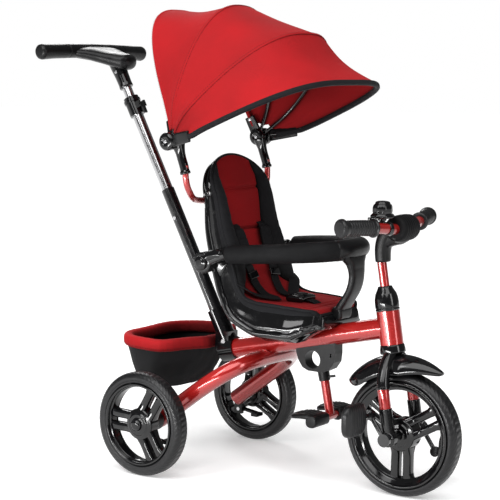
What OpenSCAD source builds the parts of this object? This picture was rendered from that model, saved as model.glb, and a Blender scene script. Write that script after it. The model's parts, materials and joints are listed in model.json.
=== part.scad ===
// Children's push tricycle with canopy, seat, safety bar, basket and footrest.
// X points forward, Y to the rider's left, Z up. Lengths are in millimetres.
// Stations along X are measured from the rear axle and moved to the middle of the
// overall length when they are drawn.

/* [Wheels] */
// Outside diameter of the front wheel
front_wheel_d = 250; // [240:2:256]
// Outside diameter of the rear wheels
rear_wheel_d = 216; // [208:2:220]
// Width of the front tyre
front_tyre_w = 42; // [38:1:44]
// Width of the rear tyres
rear_tyre_w = 37; // [34:1:40]
// Distance between the front and rear axles
wheelbase = 501; // [496:1:508]
// Distance between the middles of the two rear wheels
rear_track = 400; // [396:2:410]

/* [Frame] */
// Backward lean of the steering axis in degrees
head_angle = 10; // [9:0.5:11]
// Outside diameter of the main tube
main_tube_d = 42.6; // [42:0.2:44]
// Upward slope of the main tube in degrees
main_slope = 13.06; // [12.9:0.02:13.2]
// Outside diameter of the head tube
head_tube_d = 47; // [46:0.5:48]
// Diameter of the tube that carries the rear axle
axle_tube_d = 35; // [33:1:36]

/* [Push bar] */
// Backward lean of the push bar in degrees
push_lean = 28.3; // [28:0.1:28.6]
// Outside diameter of the lower push tube
push_lower_d = 28; // [27:0.5:28.5]
// Outside diameter of the middle push tube
push_middle_d = 24; // [23.5:0.5:24.5]
// Outside diameter of the sliding upper tube
push_upper_d = 20.6; // [20:0.2:20.8]
// Length of the push handle across the tricycle
handle_w = 352; // [330:2:370]

/* [Seat and safety bar] */
// Width of the seat shell
seat_w = 196; // [190:2:200]
// Outside diameter of the foam sleeves on the safety bar
sleeve_d = 40; // [36:1:42]

/* [Canopy] */
// Forward lean of each canopy hoop in degrees, rear to front
hoop_lean = [-22.7, 10.9, 44.7, 66.3];
// Height of each hoop above the hub
hoop_h = [283, 275, 303, 328];
// Half width of each hoop
hoop_w = [134, 169, 190, 199];
// Squareness of each hoop
hoop_n = [2.9, 2.3, 2.5, 3.6];

/* [Hidden] */
$fn = 64;

// Colours
paint_red = "firebrick";
cloth_red = "crimson";
black = "dimgray";
rubber = "darkslategray";
steel = "silver";

// Clearances between moving and between joined pieces
running = 0.05;
gap = 0.4;

// Wheels
front_r = front_wheel_d / 2;
rear_r = rear_wheel_d / 2;
front_seat_r = front_r - 17;
rear_seat_r = rear_r - 22;
axle_r = 6;

// Overall length runs from the back of the push handle to the front of the front tyre
handle_x = -309;
handle_z = 865.5;
handle_r = 14;
origin_x = (wheelbase + front_r + handle_x - handle_r) / 2;

// Main tube: a point on its axis at the cut rear end
main_rear = [62, 0, 241];
main_r = main_tube_d / 2;
main_dir = [cos(main_slope), 0, sin(main_slope)];

// Steering axis, measured upward from the front axle
head_r = head_tube_d / 2;
head_low = 179;
head_high = 246;
stem_r = 9.5;
bar_centre = [486, 0, 533];
bar_r = 11;

// Rear axle tube lies in a plane that rises toward the front
axle_plane = 36.9;
axle_half_w = 138;
axle_tube_r = axle_tube_d / 2;
axle_end = [-5, 0, 104];
apex_u = 229;

// Push bar: a point on its axis and stations along it
push_base = [46, 0, 307.7];
push_lower_len = [-50, 302];
push_collar = [480, 522];
neck_low = 546;

// Basket
basket_x = -43;
basket_a = 104;
basket_b = 142;
basket_corner = 82;
basket_z = 246;
basket_top = 272;
basket_low = 160;

// Seat: the front face of the padding in side view, top to front
pad_line = [[66, 655], [94, 585], [112, 505], [124, 470], [152, 392], [176, 366], [240, 362], [334, 358]];
shell_back = [[38, 652], [78, 540], [118, 430], [138, 376], [148, 354], [164, 339], [186, 332], [352, 331]];
seat_half = seat_w / 2;

// Safety bar
bar_pivot = [94, 0, 443];
guard_half = 122;
guard_reach = 276;
guard_rise = 0.085;
sleeve_r = sleeve_d / 2;
guard_r = 8;

// Canopy hub
hub = [36, 0, 688];
hub_y = [144.5, 152, 159.5, 167];
// How far each hoop's root is moved along X and Z from the hub
root_x = [0, 0, 0, 24];
root_z = [0, 0, 0, -8.5];
// Dip of the fabric between hoops, in height and in width
dip_h = [0.07, 0.055, 0.055];
dip_w = [0.02, 0.012, 0.03];
rib_r = 3.5;

// Footrest post leans forward toward its foot
post_lean = 11.8;
post_top = [310.4, 0, 229];
post_r = 9.3;

// Crank
crank_r = 57;
crank_angle = 126;
crank_in = 69;
crank_out = 78;
pedal_in = 96;
pedal_out = 172;

// ---- Helpers ----

// Draws a node's solids in one colour with the row's origin at the middle of the length
module part(shade) color(shade) translate([-origin_x, 0, 0]) children();

// Two copies, one on each side of the middle plane
module both_sides() for (side = [0, 1]) mirror([0, side, 0]) children();

// Round bar between two points
module rod(a, b, r) {
    v = b - a;
    translate(a) rotate([0, acos(v.z / norm(v)), atan2(v.y, v.x)]) cylinder(r = r, h = norm(v));
}

// Round bar across the tricycle, from y0 to y1
module cross_rod(x, z, y0, y1, r) translate([x, y0, z]) rotate([-90, 0, 0]) cylinder(r = r, h = y1 - y0);

module on_steering_axis() translate([wheelbase, 0, front_r]) rotate([0, -head_angle, 0]) children();

module on_push_axis() translate(push_base) rotate([0, -push_lean, 0]) children();

module along_main_tube(r, from, to) {
    translate(main_rear) rotate([0, 90 - main_slope, 0]) translate([0, 0, from]) cylinder(r = r, h = to - from);
}

function unit(v) = v / norm(v);

function tangent(p, i) = unit(p[min(i + 1, len(p) - 1)] - p[max(i - 1, 0)]);

function ring(c, t, ref, r, n) = let(s = unit(cross(t, ref)), u = cross(s, t))
    [for (k = [0:n - 1]) c + r * cos(360 * k / n) * s + r * sin(360 * k / n) * u];

// Faces of a skin between rings a and b of n points each
function skin(a, b, n, flip) = [for (k = [0:n - 1]) let(m = (k + 1) % n)
    for (f = [[a + k, a + m, b + m], [a + k, b + m, b + k]]) flip ? [f[2], f[1], f[0]] : f];

// Round bar swept along a path; with inner > 0 it is a tube
module sweep(path, r, ref, n = 12, inner = 0) {
    last = len(path) - 1;
    outer_rings = [for (i = [0:last]) each ring(path[i], tangent(path, i), ref, r, n)];
    inner_rings = [for (i = [0:last]) each ring(path[i], tangent(path, i), ref, inner, n)];
    far = (last + 1) * n;
    walls = [for (i = [0:last - 1]) each skin(i * n, (i + 1) * n, n, false)];
    if (inner == 0)
        polyhedron(outer_rings, concat(walls, [[for (k = [n - 1:-1:0]) k]],
            [[for (k = [0:n - 1]) last * n + k]]));
    else
        polyhedron(concat(outer_rings, inner_rings), concat(walls,
            [for (i = [0:last - 1]) each skin(far + i * n, far + (i + 1) * n, n, true)],
            skin(0, far, n, true), skin(last * n, far + last * n, n, false)));
}

// Solid skin through rings that each run along an outer edge of m points and back along an inner one
module closed_shell(rings, m) {
    n = 2 * m;
    last = len(rings) - 1;
    polyhedron([for (r = rings) each r], concat(
        [for (j = [0:last - 1]) each skin(j * n, (j + 1) * n, n, true)],
        [for (i = [0:m - 2]) each [[i, i + 1, n - 2 - i], [i, n - 2 - i, n - 1 - i]]],
        [for (i = [0:m - 2]) let(q = last * n) each
            [[q + n - 2 - i, q + i + 1, q + i], [q + n - 1 - i, q + n - 2 - i, q + i]]]));
}

// Closed outline of a strip of given thickness along a 2D path
function strip(p, t) = let(last = len(p) - 1)
    concat([for (i = [0:last]) let(d = unit(p[min(i + 1, last)] - p[max(i - 1, 0)]))
            p[i] + t / 2 * [-d.y, d.x]],
        [for (i = [last:-1:0]) let(d = unit(p[min(i + 1, last)] - p[max(i - 1, 0)]))
            p[i] - t / 2 * [-d.y, d.x]]);

// Extrudes a side-view outline across the tricycle, from -half to half
module across(half) translate([0, half, 0]) rotate([90, 0, 0]) linear_extrude(2 * half) children();

// Rounded rectangle with half sizes a and b
module rounded(a, b, r) {
    square([2 * a, 2 * (b - r)], center = true);
    square([2 * (a - r), 2 * b], center = true);
    for (x = [-1, 1], y = [-1, 1]) translate([x * (a - r), y * (b - r)]) circle(r);
}

// ---- Frame ----

module main_tube() part(paint_red) difference() {
    along_main_tube(main_r, 0, 415);
    along_main_tube(main_r - 2, -1, 380);
    on_steering_axis() translate([0, 0, head_low - 30]) cylinder(r = head_r, h = 130);
}

module head_tube() part(paint_red) on_steering_axis() difference() {
    translate([0, 0, head_low]) cylinder(r = head_r, h = head_high - head_low);
    translate([0, 0, head_low - 1]) cylinder(r = head_r - 2.5, h = head_high - head_low + 2);
}

// Upper and lower bearing cups pressed into the head tube
module head_bearings() part(steel) on_steering_axis() for (s = [head_low + 0.6, head_high - 12.6]) difference() {
    translate([0, 0, s]) cylinder(r = head_r - 2.5, h = 12);
    translate([0, 0, s - 1]) cylinder(r = stem_r + running, h = 14);
}

// Half of the horseshoe, from the axle end to the apex, as [u, y] in its own plane
function horseshoe(i, n) = let(t = 90 * i / n, e = 2 / 3.4)
    [70 + (apex_u - 70) * pow(sin(t), e), axle_half_w * pow(cos(t), e)];

function in_axle_plane(p) = axle_end + [p.x * cos(axle_plane), p.y, p.x * sin(axle_plane)];

module rear_axle_tube() part(paint_red) {
    half = [for (i = [0:10]) horseshoe(i, 10)];
    side = concat([[0, axle_half_w], [35, axle_half_w]], half);
    path = concat([for (p = side) in_axle_plane(p)],
        [for (i = [len(side) - 2:-1:0]) in_axle_plane([side[i].x, -side[i].y])]);
    difference() {
        sweep(path, axle_tube_r, [-sin(axle_plane), 0, cos(axle_plane)], 14);
        along_main_tube(main_r, -20, 300);
        both_sides() cross_rod(0, rear_r, 118, 170, axle_r);
    }
}

// Plastic blocks between the frame and the rear wheels, which also carry the brake levers
module axle_blocks() part(black) both_sides() difference() {
    union() {
        cross_rod(0, rear_r, 156, 178, 21);
        translate([-24, 156, rear_r - 44]) cube([20, 8, 42]);
    }
    cross_rod(0, rear_r, 155, 179, axle_r);
    cross_rod(-14, rear_r - 34, 155, 179, 4);
}

module rear_axle_pins() part(steel) both_sides() {
    cross_rod(0, rear_r, 122, 224, axle_r);
    cross_rod(0, rear_r, 221, 226, 10);
    cross_rod(-14, rear_r - 34, 156, 174, 4);
    cross_rod(-14, rear_r - 34, 174, 177, 7);
}

// Wheel cross-section as [radius, width] points, turned about the axle
module wheel_turned(x, y, z) translate([x, y, z]) rotate([90, 0, 0]) rotate_extrude($fn = 96) children();

module tyre(x, y, r, seat, w) wheel_turned(x, y, r) {
    crown = w * 0.34;
    polygon(concat([[seat, -w / 2 + 3], [seat + 3, -w / 2], [r - crown, -w / 2]],
        [for (a = [15:15:75]) [r - crown + crown * sin(a), -w / 2 + crown * (1 - cos(a))]],
        [[r, -w / 2 + crown], [r, w / 2 - crown]],
        [for (a = [75:-15:15]) [r - crown + crown * sin(a), w / 2 - crown * (1 - cos(a))]],
        [[r - crown, w / 2], [seat + 3, w / 2], [seat, w / 2 - 3]]));
}

// Moulded rim: dished barrel, hub and three double spokes
module rim(x, y, r, seat, w, well, hub_half, first, bore) difference() {
    union() {
        wheel_turned(x, y, r) polygon([[seat - gap, -w / 2 + 3], [seat - gap, w / 2 - 3], [seat - 4, w / 2 - 1],
            [well, w / 4], [well, -w / 4], [seat - 4, -w / 2 + 1]]);
        translate([x, y, r]) rotate([90, 0, 0]) cylinder(r = 32, h = 2 * hub_half, center = true);
        for (k = [0:2], side = [-1, 1])
            translate([x, y, r]) rotate([0, -first - 120 * k, 0])
                translate([28, -11, side * 13.5 - 6]) cube([well - 24, 22, 12]);
    }
    translate([x, y, r]) rotate([90, 0, 0]) cylinder(r = bore, h = 60, center = true);
}

module rear_tyre(side) tyre(0, side * rear_track / 2, rear_r, rear_seat_r, rear_tyre_w);

module rear_rim(side, first)
    rim(0, side * rear_track / 2, rear_r, rear_seat_r, rear_tyre_w, 78, 20, first, axle_r + running);

module rear_tyre_left() part(rubber) rear_tyre(1);

module rear_tyre_right() part(rubber) rear_tyre(-1);

module rear_rim_left() part(black) rear_rim(1, 90);

module rear_rim_right() part(black) rear_rim(-1, 60);

module front_tyre() part(rubber) tyre(wheelbase, 0, front_r, front_seat_r, front_tyre_w);

module front_rim() part(black)
    rim(wheelbase, 0, front_r, front_seat_r, front_tyre_w, 90, 24, 30, axle_r);

// Brake lever: a bar with a foot paddle, turning on the pin below the axle block
module brake_lever() {
    px = -14;
    pz = rear_r - 34;
    difference() {
        union() {
            cross_rod(px, pz, 164.4, 173.6, 9);
            rod([px, 169, pz], [px + 44, 169, pz - 6], 4.5);
            translate([px + 40, 150, pz - 10]) cube([16, 24, 7]);
        }
        cross_rod(px, pz, 163, 175, 4 + running);
    }
}

module brake_lever_left() part(black) brake_lever();

module brake_lever_right() part(black) mirror([0, 1, 0]) brake_lever();

// ---- Push bar ----

module push_tube(r, inner, from, to) on_push_axis() difference() {
    translate([0, 0, from]) cylinder(r = r, h = to - from);
    translate([0, 0, from - 1]) cylinder(r = inner, h = to - from + 2);
}

// Casting that clamps the rear of the main tube and takes the foot of the push bar
module push_bar_socket() part(black) difference() {
    union() {
        on_push_axis() translate([0, 0, -56]) cylinder(r = 19, h = 76);
        along_main_tube(main_r + 4, -2, 34);
        translate([48, -17, 240]) cube([34, 34, 44]);
    }
    on_push_axis() translate([0, 0, push_lower_len[0]]) cylinder(r = push_lower_d / 2, h = 120);
    along_main_tube(main_r, 0, 60);
}

module push_bar_lower_tube() part(black) difference() {
    push_tube(push_lower_d / 2, push_middle_d / 2, push_lower_len[0], push_lower_len[1]);
    along_main_tube(main_r, -20, 120);
    button_hole();
}

module push_bar_middle_tube() part(steel) difference() {
    push_tube(push_middle_d / 2, push_upper_d / 2 + running, 120, push_collar[0] + 14);
    button_hole();
}

module button_hole() on_push_axis() translate([0, 0, 235]) rotate([90, 0, 0]) cylinder(r = 4 + running, h = 20);

// Clamp collar on top of the middle tube
module locking_collar() part(black) on_push_axis() difference() {
    union() {
        translate([0, 0, push_collar[0]]) cylinder(r = 16.5, h = push_collar[1] - push_collar[0]);
        translate([0, 0, push_collar[1] - 12]) cylinder(r = 18.5, h = 6);
        for (side = [-1, 1]) translate([12, side * 8 - 2.5, push_collar[0] + 11]) cube([13, 5, 14]);
    }
    translate([0, 0, push_collar[0] - 1]) cylinder(r = push_middle_d / 2, h = 15);
    translate([0, 0, push_collar[0] + 13]) cylinder(r = push_upper_d / 2 + running, h = 60);
    translate([21, 20, push_collar[0] + 18]) rotate([90, 0, 0]) cylinder(r = 3, h = 40);
}

// Cam lever between the collar's ears
module collar_lever() part(black) on_push_axis() {
    translate([21, 12, push_collar[0] + 18]) rotate([90, 0, 0]) cylinder(r = 3 - running, h = 24);
    translate([21, 4.8, push_collar[0] + 18]) rotate([90, 0, 0]) cylinder(r = 4.4, h = 9.6);
    translate([21, -4.8, push_collar[0] - 5]) cube([4, 9.6, 23]);
}

// Spring button in the side of the lower tube
module release_button() part(steel) on_push_axis() translate([0, 3 - push_lower_d / 2, 235])
    rotate([90, 0, 0]) cylinder(r = 4, h = 6);

module push_bar_upper_tube() part(steel)
    push_tube(push_upper_d / 2, push_upper_d / 2 - 1.5, 300, neck_low + 40);

// Neck, tray and arms of the push handle
module handle_body() part(black) difference() {
    union() {
        on_push_axis() translate([0, 0, neck_low]) cylinder(r1 = 13.5, r2 = 16, h = 56);
        hull() {
            translate([-222, 0, 836]) cylinder(r = 24, h = 22, $fn = 32);
            both_sides() cross_rod(handle_x, handle_z, 66, 84, handle_r + 1, $fn = 24);
        }
    }
    on_push_axis() translate([0, 0, neck_low - 1]) cylinder(r = push_upper_d / 2, h = 41);
    cross_rod(handle_x, handle_z, -200, 200, handle_r - 2);
}

module handle_grip() part(rubber) {
    cross_rod(handle_x, handle_z, -handle_w / 2 + 12, handle_w / 2 - 12, handle_r - 2);
    both_sides() {
        cross_rod(handle_x, handle_z, 84.4, handle_w / 2 - 8, handle_r);
        translate([handle_x, handle_w / 2 - 8, handle_z]) intersection() {
            sphere(r = handle_r);
            translate([-20, 0, -20]) cube([40, 8, 40]);
        }
    }
}

// ---- Basket ----

// Wall of the basket's plan shape between two insets and two heights
module basket_wall(outer, inner, z0, z1) translate([basket_x, 0, z0]) linear_extrude(z1 - z0) difference() {
    rounded(basket_a - outer, basket_b - outer, basket_corner - outer);
    rounded(basket_a - inner, basket_b - inner, basket_corner - inner);
}

// Room for the push bar socket in front of the basket
module socket_room(extra) {
    on_push_axis() translate([0, 0, -80]) cylinder(r = 19 + extra, h = 120);
    along_main_tube(main_r + 4 + extra, -2 - extra, 40);
    translate([48 - extra, -17 - extra, 240 - extra]) cube([40, 34 + 2 * extra, 60]);
}

module basket_rim() part(cloth_red) difference() {
    basket_wall(0, 21, basket_z, basket_top);
    socket_room(0.6);
}

// Flat steel hoop inside the rim with the tongue that bolts to the push bar socket
module basket_hoop() part(steel) difference() {
    union() {
        basket_wall(21.4, 24.4, basket_z + 4, basket_top - 4);
        translate([basket_x + basket_a - 24.4, -8, basket_z + 12]) cube([3, 16, 17.4]);
        translate([basket_x + basket_a - 24.4, -8, basket_top + 0.4]) cube([20, 16, 3]);
    }
    socket_room(0.4);
}

// Thin slice of the bag at one height
module bag_slice(inset, z, a, b, r, x) translate([x, 0, z]) linear_extrude(0.1)
    rounded(a - inset, b - inset, r - inset, $fn = 40);

// Tapered bag hanging from the rim
module basket_bag() part(black) difference() {
    hull() {
        bag_slice(0, basket_z - 0.4, basket_a - 9, basket_b - 8, 74, basket_x);
        bag_slice(0, basket_low, 52.5, 90, 46, basket_x - 29);
    }
    hull() {
        bag_slice(2.4, basket_z - 0.3, basket_a - 9, basket_b - 8, 74, basket_x);
        bag_slice(2.4, basket_low + 2.4, 52.5, 90, 46, basket_x - 29);
    }
    socket_room(0.6);
}

// ---- Seat ----

// Outline of the seat back seen from the front: half width at height z
module back_outline(half, top, low) rotate([90, 0, 90]) linear_extrude(400) {
    shoulder = top - half * 1.25;
    translate([-half, low]) square([2 * half, shoulder - low]);
    translate([0, shoulder]) intersection() {
        translate([0, -half * 0.16]) circle(half * 1.41);
        translate([-half, 0]) square([2 * half, 2 * half]);
    }
}

// One-piece moulded shell: back, base tub, side rails and ears for the safety bar
module seat_shell() part(black) difference() {
    union() {
        intersection() {
            across(seat_half) polygon(strip(shell_back, 8));
            union() {
                back_outline(seat_half, 655, 330);
                translate([150, -seat_half, 300]) cube([210, 2 * seat_half, 60]);
            }
        }
        across(70) polygon([[150, 334], [158, 312], [176, 296], [204, 289], [300, 289], [334, 300], [350, 328],
            [350, 334]]);
        both_sides() translate([150, seat_half - 6, 318]) cube([190, 14, 9]);
        both_sides() translate([150, seat_half - 6, 318]) cube([190, 6, 16]);
        both_sides() translate([72, seat_half - 8, 424]) cube([60, 8, 38]);
    }
    along_main_tube(main_r, 0, 415);
}

// Seat padding drawn to its side view; raised sides hold the rider
module seat_cushion() part(cloth_red) across(seat_half - 8) polygon(concat(
    [[172, 372], [186, 365], [240, 362], [326, 359]], [[333, 352], [333, 336], [206, 337], [180, 346]]));

module seat_back_pad() part(cloth_red) {
    front = [for (i = [0:4]) pad_line[i]];
    behind = [[155, 370], [125, 434], [85, 540], [46, 650]];
    intersection() {
        across(seat_half - 6) polygon(concat(front, behind));
        back_outline(seat_half - 6, 660, 350);
    }
}

// Webbing, shoulder pads and buckle lying on the padding
module harness() part("black") {
    line = [[112, 518], [117, 505], [129.5, 471], [157, 395], [172, 378], [190, 369.5], [234, 366.4]];
    both_sides() {
        translate([0, 46, 0]) across(11) polygon(strip(line, 2));
        translate([0, 46, 0]) across(17) polygon(strip([[127, 493], [150, 432]], 7));
    }
    translate([232, -36, 364.4]) cube([40, 72, 13]);
}

// Fixed half of the safety bar's pivots
module safety_bar_knuckles() part(black) both_sides() {
    cross_rod(bar_pivot.x, bar_pivot.z, seat_half + gap, seat_half + 10, 20);
    cross_rod(bar_pivot.x, bar_pivot.z, seat_half + gap, seat_half + 36, 5);
    cross_rod(bar_pivot.x, bar_pivot.z, seat_half + 33, seat_half + 38, 11);
}

// Safety bar centre line from the rear left round the front: t runs from -90 to 90
function guard(t, n = 2.5) = let(c = pow(abs(cos(t)), 2 / n), s = pow(abs(sin(t)), 2 / n) * sign(t),
    x = bar_pivot.x + 2 + guard_reach * c) [x, guard_half * s, 462 + guard_rise * (x - 132)];

module safety_bar_tube() part(steel) {
    t_end = 83;
    path = [for (t = [-t_end:8.3:t_end]) guard(t)];
    difference() {
        union() {
            sweep(path, guard_r, [0, 0, 1]);
            both_sides() {
                rod([bar_pivot.x + 6, 122, bar_pivot.z], guard(t_end), 9);
                cross_rod(bar_pivot.x, bar_pivot.z, seat_half + 10.4, seat_half + 32.6, 20);
            }
        }
        both_sides() cross_rod(bar_pivot.x, bar_pivot.z, seat_half, seat_half + 40, 5 + running);
    }
}

module safety_bar_sleeves() part("black") both_sides()
    sweep([for (t = [19:7.1:75.9]) guard(t)], sleeve_r, [0, 0, 1], 14, guard_r + 0.3);

// Curved post between the safety bar and the front of the seat, with a wide head round the bar
module crotch_post() part(black) {
    head = guard(0.01);
    line = [[head.x - 1, head.z - 6], [378, 452], [381, 426], [375, 402], [363, 380], [354, 364]];
    difference() {
        union() {
            across(22) polygon(strip(line, 15));
            sweep([for (t = [-18.4:4.6:18.5]) guard(t)], sleeve_r - 1, [0, 0, 1], 14);
        }
        sweep([for (t = [-22:5.5:22]) guard(t)], guard_r + 0.6, [0, 0, 1], 14);
    }
    across(24) polygon([[339, 337.5], [362, 337.5], [368, 352], [362, 370], [346, 362]]);
}

// ---- Canopy ----

// Point on an arch as [distance from the hub along its plane, y across]; the foot is pulled in to y = foot_y
function arch(t, h, w, n, foot_y) = let(s = h * pow(sin(t), 2 / n), y = w * pow(abs(cos(t)), 2 / n),
    pull = s < 16 ? 1 : pow(max(0, 1 - (s - 16) / 90), 2)) [s, (y + (foot_y - w) * pull) * (t <= 90 ? 1 : -1)];

function in_hoop_plane(lean, p, dx, dz) = hub + [p.x * sin(lean), p.y, p.x * cos(lean)]
    + min(1, p.x / 60) * [dx, 0, dz];

function hoop_point(k, t) = in_hoop_plane(hoop_lean[k],
    arch(t, hoop_h[k], hoop_w[k], hoop_n[k], hub_y[k]), root_x[k], root_z[k]);

// Angle round an arch at which it is s away from the hub
function arch_start(s, h, n) = asin(pow(s / h, n / 2));

function hoop_path(k) = let(foot = arch_start(8, hoop_h[k], hoop_n[k]), first = arch_start(17, hoop_h[k], hoop_n[k]))
    concat([hoop_point(k, foot)], [for (i = [0:26]) hoop_point(k, 90 - (90 - first) * cos(180 * i / 26))],
    [hoop_point(k, 180 - foot)]);

module hoop(k) {
    sweep(hoop_path(k), rib_r, [cos(hoop_lean[k]), 0, -sin(hoop_lean[k])], 8);
    both_sides() difference() {
        cross_rod(hub.x, hub.z, hub_y[k] - 3.5, hub_y[k] + 3.5, 12);
        cross_rod(hub.x, hub.z, hub_y[k] - 5, hub_y[k] + 5, 4 + running);
    }
}

// Red tube bent behind the seat back, carrying both canopy arms
module canopy_post() part(paint_red) {
    side = [[62, 144.5, 640], [63.5, 144.5, 612], [65, 141, 596], [65, 132, 583], [61, 118, 573], [57, 104, 568],
        [55, 85, 565], [55, 40, 565]];
    path = concat(side, [for (i = [len(side) - 1:-1:0]) [side[i].x, -side[i].y, side[i].z]]);
    difference() {
        sweep(path, 6.5, [-1, 0, 0.2], 12);
        both_sides() cross_rod(hub.x, hub.z, 130, 170, 18);
    }
}

// Black arms on the red tube with the hub pin and the fixed rear hoop
module canopy_arms() part(black) {
    both_sides() {
        difference() {
            union() {
                cross_rod(hub.x, hub.z, hub_y[0] - 3.5, hub_y[0] + 3.5, 16);
                rod([44, hub_y[0], 682], [62.5, hub_y[0], 626], 8.6);
            }
            rod([62, hub_y[0], 640.5], [64, hub_y[0], 612], 6.6);
            cross_rod(hub.x, hub.z, 148.01, 170, 30);
        }
        cross_rod(hub.x, hub.z, 147, 172, 4);
        cross_rod(hub.x, hub.z, 171, 174, 8);
    }
    sweep(hoop_path(0), rib_r, [cos(hoop_lean[0]), 0, -sin(hoop_lean[0])], 8);
}

module canopy_middle_hoop() part(steel) hoop(1);

module canopy_front_rib() part(steel) hoop(2);

module canopy_front_hoop() part(steel) hoop(3);

function between(list, k, u) = list[k] + (list[k + 1] - list[k]) * u;

// Point on the fabric between hoops k and k + 1: t round the arch, u from hoop to hoop
function cloth(k, t, u, out) = let(h = between(hoop_h, k, u) * (1 - dip_h[k] * sin(180 * u)),
    w = between(hoop_w, k, u) * (1 - dip_w[k] * sin(180 * u)), n = between(hoop_n, k, u),
    foot_y = between(hub_y, k, u))
    in_hoop_plane(between(hoop_lean, k, u), arch(t, h + out, w + out, n, foot_y + out),
    between(root_x, k, u), between(root_z, k, u));

// Fabric between two hoops: a thin shell that dips a little between them
module canopy_panel(k) {
    across_n = 24;
    closed_shell([for (j = [0:4]) let(u = 0.008 + 0.984 * j / 4,
        first = arch_start(30, between(hoop_h, k, u), between(hoop_n, k, u))) concat(
        [for (i = [0:across_n]) cloth(k, 90 - (90 - first) * cos(180 * i / across_n), u, rib_r + 3.8)],
        [for (i = [across_n:-1:0]) cloth(k, 90 - (90 - first) * cos(180 * i / across_n), u, rib_r + 1.8)])],
        across_n + 1);
}

module canopy_rear_panel() part(cloth_red) canopy_panel(0);

module canopy_top_panel() part(cloth_red) canopy_panel(1);

module canopy_front_panel() part(cloth_red) canopy_panel(2);

// ---- Footrest ----

module on_post_axis() translate(post_top) rotate([0, 180 - post_lean, 0]) children();

// Bracket under the main tube with a grip hole and the collar for the post
module footrest_bracket() part(black) difference() {
    union() {
        across(14) polygon([[252, 262], [258, 246], [268, 232], [282, 226], [318, 226], [334, 234],
            [345, 250], [347, 268], [346, 300], [252, 282]]);
        on_post_axis() translate([0, 0, -4]) cylinder(r1 = 12.4, r2 = 11.6, h = 25.5);
        on_post_axis() translate([-26, -2, 12]) cube([16, 4, 5]);
    }
    along_main_tube(main_r, 0, 415);
    translate([252, -20, 292]) cube([110, 40, 40]);
    cross_rod(292.4, 250.2, -20, 20, 18.5);
    cross_rod(335.5, 265, -20, 20, 2.2);
    cross_rod(335.5, 261.5, -20, 20, 2.2);
    on_post_axis() translate([0, 0, -1]) cylinder(r = post_r + running, h = 40);
}

module footrest_post() part(paint_red) difference() {
    union() {
        on_post_axis() cylinder(r = post_r, h = 91);
        cross_rod(330, 136, -74, 74, 8);
    }
    on_post_axis() translate([0, 0, -1]) cylinder(r = post_r - 2, h = 82);
}

// Two ribbed foot pads on the cross tube
module footrest_plates() part(black) both_sides() difference() {
    union() {
        translate([317, 20, 122.5]) cube([22, 56, 27]);
        translate([282, 20, 134]) cube([40, 56, 14]);
        translate([282, 20, 141]) rotate([-90, 0, 0]) cylinder(r = 7, h = 56);
        for (k = [0:4]) translate([284 + 11 * k, 24, 146]) cube([4, 48, 4.6]);
    }
    cross_rod(330, 136, 19, 74, 8);
}

// ---- Fork and steering ----

// Centre line of one fork leg, from the crown down to the front axle
fork_leg = [[474, 12, 283], [475.5, 26, 272], [478, 40, 256], [480.6, 49, 240], [483.6, 54, 224],
    [487, 55.5, 206], [491, 55.5, 183], [496, 55.5, 154], [500.5, 55.5, 128]];

function leg_part(from, to) = [for (i = [from:to]) fork_leg[i]];

// Steering stem and the two painted legs
module fork_tubes() part(paint_red) {
    on_steering_axis() translate([0, 0, 160]) cylinder(r = stem_r, h = 208);
    both_sides() difference() {
        sweep(leg_part(4, 7), 12.2, [1, 0, 0], 16);
        translate([440, 0, 100]) cube([90, 90, 81.4]);
        translate([440, 0, 223.6]) cube([90, 90, 20]);
    }
}

// Crown cover and glossy upper leg covers
module fork_crown() part(black) {
    on_steering_axis() difference() {
        translate([0, 0, 160.6]) cylinder(r1 = 25.5, r2 = 24, h = head_low - 161.1);
        cylinder(r = stem_r, h = 300);
    }
    both_sides() difference() {
        sweep(leg_part(0, 4), 12.2, [1, 0, 0], 16);
        on_steering_axis() translate([0, 0, 160.6]) cylinder(r = 40, h = 100);
        translate([440, -20, 200]) cube([90, 90, 24.02]);
        translate([440, -30, 240]) cube([90, 30, 60]);
    }
}

// Lower leg covers with the axle bosses
module fork_leg_covers() part(black) both_sides() difference() {
    union() {
        intersection() {
            sweep(leg_part(6, 8), 13, [1, 0, 0], 16);
            translate([440, 0, 100]) cube([90, 90, 81]);
        }
        cross_rod(wheelbase, front_r, 43, 67.5, 15);
    }
    cross_rod(wheelbase, front_r, 30, 90, axle_r + running);
}

// Width of the mudguard along its length, pointed at the front and rounded at the back
function guard_w(u) = u < 0.36 ? 5 + 32.5 * pow(u / 0.36, 0.7) : u > 0.8 ? 7 + 30.5 * sqrt(1 - pow((u - 0.8) / 0.2001, 2)) : 37.5;

// Point on the mudguard: u along its length, f from -90 to 90 across, in from the outer face
function guard_point(u, f, inset) = let(w = guard_w(u), a = 57 + 86 * u,
    r = 158.5 - inset - 0.9 * w * (1 - cos(f))) [wheelbase + r * cos(a), (w - inset) * sin(f), front_r + r * sin(a)];

// Curved mudguard with turned-down edges, notched round the fork legs
module fender() part(black) difference() {
    closed_shell([for (j = [0:24]) concat([for (i = [0:12]) guard_point(j / 24, 15 * i - 90, 0)],
        [for (i = [12:-1:0]) guard_point(j / 24, 15 * i - 90, 2.4)])], 13);
    both_sides() rod(fork_leg[0], fork_leg[3], 15);
    on_steering_axis() translate([0, 0, 160.2]) cylinder(r = 26, h = 60);
}

// Bottle-shaped cap above the head tube
module head_cap() part(black) on_steering_axis() difference() {
    rotate_extrude() polygon([[0, head_high + 0.5], [23.8, head_high + 0.5], [23.8, head_high + 5], [22.6, head_high + 5.6],
        [23.8, head_high + 6.2], [23.6, head_high + 20], [21.5, head_high + 33], [16, head_high + 44],
        [14.5, head_high + 47.5], [0, head_high + 47.5]]);
    cylinder(r = stem_r, h = 400);
}

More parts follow.
